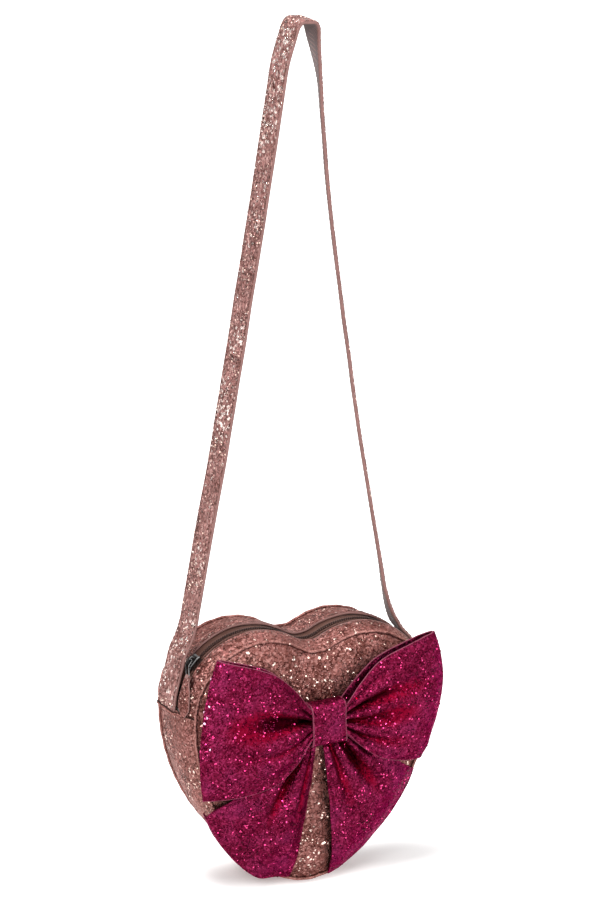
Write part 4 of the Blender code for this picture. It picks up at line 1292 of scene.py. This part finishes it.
def rimDistance(angle, stations):
    # distance from the knot to the heart's outline, at an angle from straight down towards +X
    ray = Vector((math.sin(angle), -math.cos(angle)))
    points = [Vector(spot(station, 0.0)) - Vector((0.0, bowSet["z"])) for station in stations]
    for first, second in zip(points, points[1:]):
        a = ray.x * first.y - ray.y * first.x
        c = ray.x * second.y - ray.y * second.x
        if a >= 0 >= c:
            return (first + (second - first) * (a / (a - c))).length
    return points[-1].length


def tailPleats(side, down, across):
    fade = smooth(0.02, 0.14, down) * (1 - 0.86 * smooth(0.28, 0.86, down))
    depth = 0.0
    for root, tip, width, deep in tailSet["pleats"][side]:
        depth += deep * bell(across, mix(root, tip, down), width * mix(0.85, 1.35, down))
    return depth * fade


def buildTail(side):
    t = tailSet
    name = "left" if side < 0 else "right"
    stations = halfRun(outlineArcs()[1], 1.5)
    angles = [mix(t["inner"], t["outer"][side], j / t["across"]) for j in range(t["across"] + 1)]
    rims = [rimDistance(angle, stations) for angle in angles]
    rows, paintedFoldShade = [], []
    for i in range(t["rows"] + t["lipRows"] + 1):
        down = min(1.0, i / t["rows"])
        lip = max(0, i - t["rows"]) / t["lipRows"]
        below = max(0.0, down - 0.08) / 0.92
        swell = math.sin(math.pi * min(1.0, below ** 0.85)) ** 0.75
        row = []
        for j, (angle, rim) in enumerate(zip(angles, rims)):
            across = j / t["across"]
            end = rim + t["overhang"] * through(t["reach"][side], across)
            top = Vector((t["split"] + t["topHalf"] * across, -t["topDrop"]))
            bottom = Vector((math.sin(angle), -math.cos(angle))) * end
            place = top + (bottom - top) * down
            inset = max(0.0, rim - place.length)
            edgeSoft = smooth(0.0, 0.14, across) * (1 - 0.55 * smooth(0.88, 1.0, across))
            fold = tailPleats(side, down, across)
            lift = t["puff"] * 1.12 * swell * mix(t["innerLift"][side], 1.0, edgeSoft) - fold
            depth = body["halfDepth"] + 0.9 + domeRise(inset + 1.0, body["frontPuff"]) + t["clear"]
            depth += max(0.35, lift) - lip * (1.0 + 5.0 * across)
            place -= bottom.normalized() * lip * lip * 0.8
            point = Vector((side * place.x, -depth, bowSet["z"] + place.y))
            rough = wobble(point, 12.0, 0.8, 9.0 * side) + wobble(point, 5.0, 0.3, 4.0)
            point.y += rough * smooth(0.12, 0.4, down)
            row.append(point)
            # the fold's depth as a share, for the painted shade in the folds
            paintedFoldShade.append(fold / bowSet["foldDepth"])
        rows.append(row)
    piece = gridPiece(f"bow_tail_cloth_{name}", rows, "magenta", thick=t["cloth"], paintedFoldShade=paintedFoldShade)
    wear(piece, "magenta_glitter", f"bow_tail_{name}")
    return piece


panels = []
for side, facing, seed in (("front", -1, 2.0), ("back", 1, 6.0)):
    panels.append(buildPanel(side, facing, body[side + "Puff"], seed))
    buildSeamEdge(side, facing)
gusset = buildGusset()
buildSideSeams()
print("stage: body")
strips = buildZip()
buildSlider()
tab = buildPull()
print("stage: zip")
buildStrap()
print("stage: strap")
bow = [buildLoop(-1), buildLoop(1), buildKnot(), buildTail(-1), buildTail(1)]
print("stage: bow")

for seed, (piece, pale) in enumerate(zip([*panels, gusset, *strips], (0.10, 0.05, 0.05, 0.05, 0.05)), 21):
    wear(addFlakes(piece, "rose", *flakeSet["bag"], seed, pale), "rose_glitter")
wear(addFlakes(tab, "rose", *flakeSet["tab"], 40, 0.10), "rose_glitter", on="pull")
for seed, piece in enumerate(bow, 26):
    wear(addFlakes(piece, "magenta", *flakeSet["bow"], seed, 0.06), "magenta_glitter")
print("stage: flakes")

# the solids that stay as they are
for key, nodes in (
    ("foam", ("front_foam", "back_foam", "gusset_foam")), ("metal", ("zip_stop_left", "zip_stop_right")),
    ("lining", ("lining_front", "lining_back", "lining_gusset", "lining_zip_front", "lining_zip_back")),
):
    for item in (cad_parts[node] for node in nodes):
        for slot in item.material_slots:
            slot.link = "OBJECT"
            slot.material = looks[key]

floorSet = {
    "radius": 6.0, "drop": 5.2, "colour": (0.90, 0.90, 0.90),
    # the line under the bag where the floor's glow is weakest and its painted shade darkest, in metres
    "middle": 0.048, "half": 0.056, "flatten": 1.9, "near": 0.010, "far": 0.090, "weakest": 0.12,
    "glossy": 0.8,
}


def buildFloor():
    # the floor glows white for the camera, evenly except along a line under the bag where the glow is dimmed;
    # there the real shadow shows, darkened further by the dimmed glow, which is painted shade
    f = floorSet
    data = bmesh.new()
    bmesh.ops.create_circle(data, cap_ends=True, segments=64, radius=f["radius"])
    mesh = bpy.data.meshes.new("floor")
    data.to_mesh(mesh)
    data.free()
    look, tree, shader = newMaterial("paleFloor")
    path = addNode(tree, "ShaderNodeLightPath")
    place = addNode(tree, "ShaderNodeTexCoord")["Object"]
    parts = addNode(tree, "ShaderNodeSeparateXYZ", {"Vector": place})
    beyond = calc(tree, "ABSOLUTE", calc(tree, "SUBTRACT", parts["X"], f["middle"]), 0.0)
    beyond = calc(tree, "MAXIMUM", calc(tree, "SUBTRACT", beyond, f["half"]), 0.0)
    across = calc(tree, "MULTIPLY", parts["Y"], f["flatten"])
    away = addNode(tree, "ShaderNodeCombineXYZ", {"X": beyond, "Y": across})[0]
    away = addNode(tree, "ShaderNodeVectorMath", {0: away}, operation="LENGTH")["Value"]
    # painted shade: the glow is weakest near the line under the bag
    level = ranged(tree, away, f["near"], f["far"], f["weakest"])
    seen = calc(tree, "MAXIMUM", path["Is Camera Ray"], path["Is Transmission Ray"])
    glow = calc(tree, "MULTIPLY_ADD", path["Is Glossy Ray"], f["glossy"], calc(tree, "MULTIPLY", seen, level))
    feed(shader, {
        "Base Color": f["colour"], "Roughness": 0.9, "Specular IOR Level": 0.1,
        "Emission Color": (1.0, 1.0, 1.0), "Emission Strength": glow,
    })
    floor = addPiece("floor", mesh, look)
    floor.location = (0.0, 0.0, (bagPlace.z - body["tipDrop"] - body["tipRadius"] - f["drop"]) * mm)


def buildWorld():
    # white for the camera; for the bag a soft room, lighter overhead than at eye level
    world = bpy.data.worlds.new("softWhite")
    bpy.context.scene.world = world
    world.use_nodes = True
    tree = world.node_tree
    path = addNode(tree, "ShaderNodeLightPath")
    place = addNode(tree, "ShaderNodeTexCoord")["Generated"]
    height = addNode(tree, "ShaderNodeSeparateXYZ", {"Vector": place})["Z"]
    room = blended(tree, path["Is Diffuse Ray"], ranged(tree, height, 0.15, 1.0, 0.68, 2.9), 0.55, "FLOAT")
    feed(tree.nodes["Background"], {
        "Color": (1.0, 1.0, 1.0), "Strength": blended(tree, path["Is Camera Ray"], room, 1.0, "FLOAT"),
    })


# name, place in metres, size and power; the sparks are small lamps that the glitter mirrors
lampSet = (
    ("key", (-1.65, -1.95, 0.95), 0.80, 29.5), ("fill", (1.4, -1.5, 0.1), 1.2, 7.0),
    ("top", (-0.95, -0.05, 2.25), 0.45, 15.5), ("spark0", (-1.5, -0.6, -0.25), 0.07, 1.6),
    ("spark1", (-0.9, -1.7, -0.1), 0.07, 1.6), ("spark2", (0.3, -1.9, 0.35), 0.07, 1.4),
    ("spark3", (-1.2, -1.0, 1.0), 0.07, 1.6), ("spark4", (1.2, -1.2, 0.6), 0.07, 1.0),
    ("spark5", (-1.6, 0.3, 0.3), 0.07, 1.2), ("spark6", (0.9, 1.4, 0.4), 0.07, 1.2),
    ("spark7", (-0.4, 1.5, 0.2), 0.07, 1.2),
)


def buildLights():
    aim = Vector((0.0, 0.0, -0.40))
    for name, place, size, power in lampSet:
        lamp = bpy.data.lights.new(name, "AREA")
        lamp.shape = "DISK"
        lamp.size = size
        lamp.energy = power
        item = addPiece(name, lamp, None)
        item.location = place
        item.rotation_euler = (aim - Vector(place)).to_track_quat("-Z", "Y").to_euler()


camSet = {
    "azimuth": 25.6, "elevation": 16.1, "roll": 2.69, "scale": 1.509, "distance": 2668.0,
    "middle": (295.0, 694.2), "width": 600, "height": 900, "sensor": (24.0, 36.0), "clip": (0.05, 50.0),
}


def buildCamera():
    # the picture's own camera: scale is pixels per mm at the bag, middle the pixel of the bag's origin
    p = camSet
    a, e, r = (math.radians(p[key]) for key in ("azimuth", "elevation", "roll"))
    turn = Matrix((
        (math.cos(a), -math.sin(a), 0), (math.sin(a) * math.sin(e), math.cos(a) * math.sin(e), math.cos(e)),
        (-math.sin(a) * math.cos(e), -math.cos(a) * math.cos(e), math.sin(e)),
    ))
    c, s = math.cos(r), math.sin(r)
    right, up, back = (Vector((v.x * c - v.z * s, v.y, v.x * s + v.z * c)) for v in turn)
    offX = (p["middle"][0] - p["width"] / 2) / p["scale"]
    offY = (p["height"] / 2 - p["middle"][1]) / p["scale"]
    data = bpy.data.cameras.new("photoCamera")
    data.sensor_fit = "VERTICAL"
    data.sensor_width, data.sensor_height = p["sensor"]
    data.lens = p["scale"] * p["distance"] / p["height"] * data.sensor_height
    data.clip_start, data.clip_end = p["clip"]
    item = addPiece("photoCamera", data, None)
    place = Matrix((right, up, back)).transposed().to_4x4()
    place.translation = toWorld(-right * offX - up * offY + back * p["distance"])
    item.matrix_world = place
    bpy.context.scene.camera = item


buildFloor()
buildWorld()
buildLights()
buildCamera()
bpy.context.scene.view_settings.view_transform = "Standard"
print("stage: light and camera")
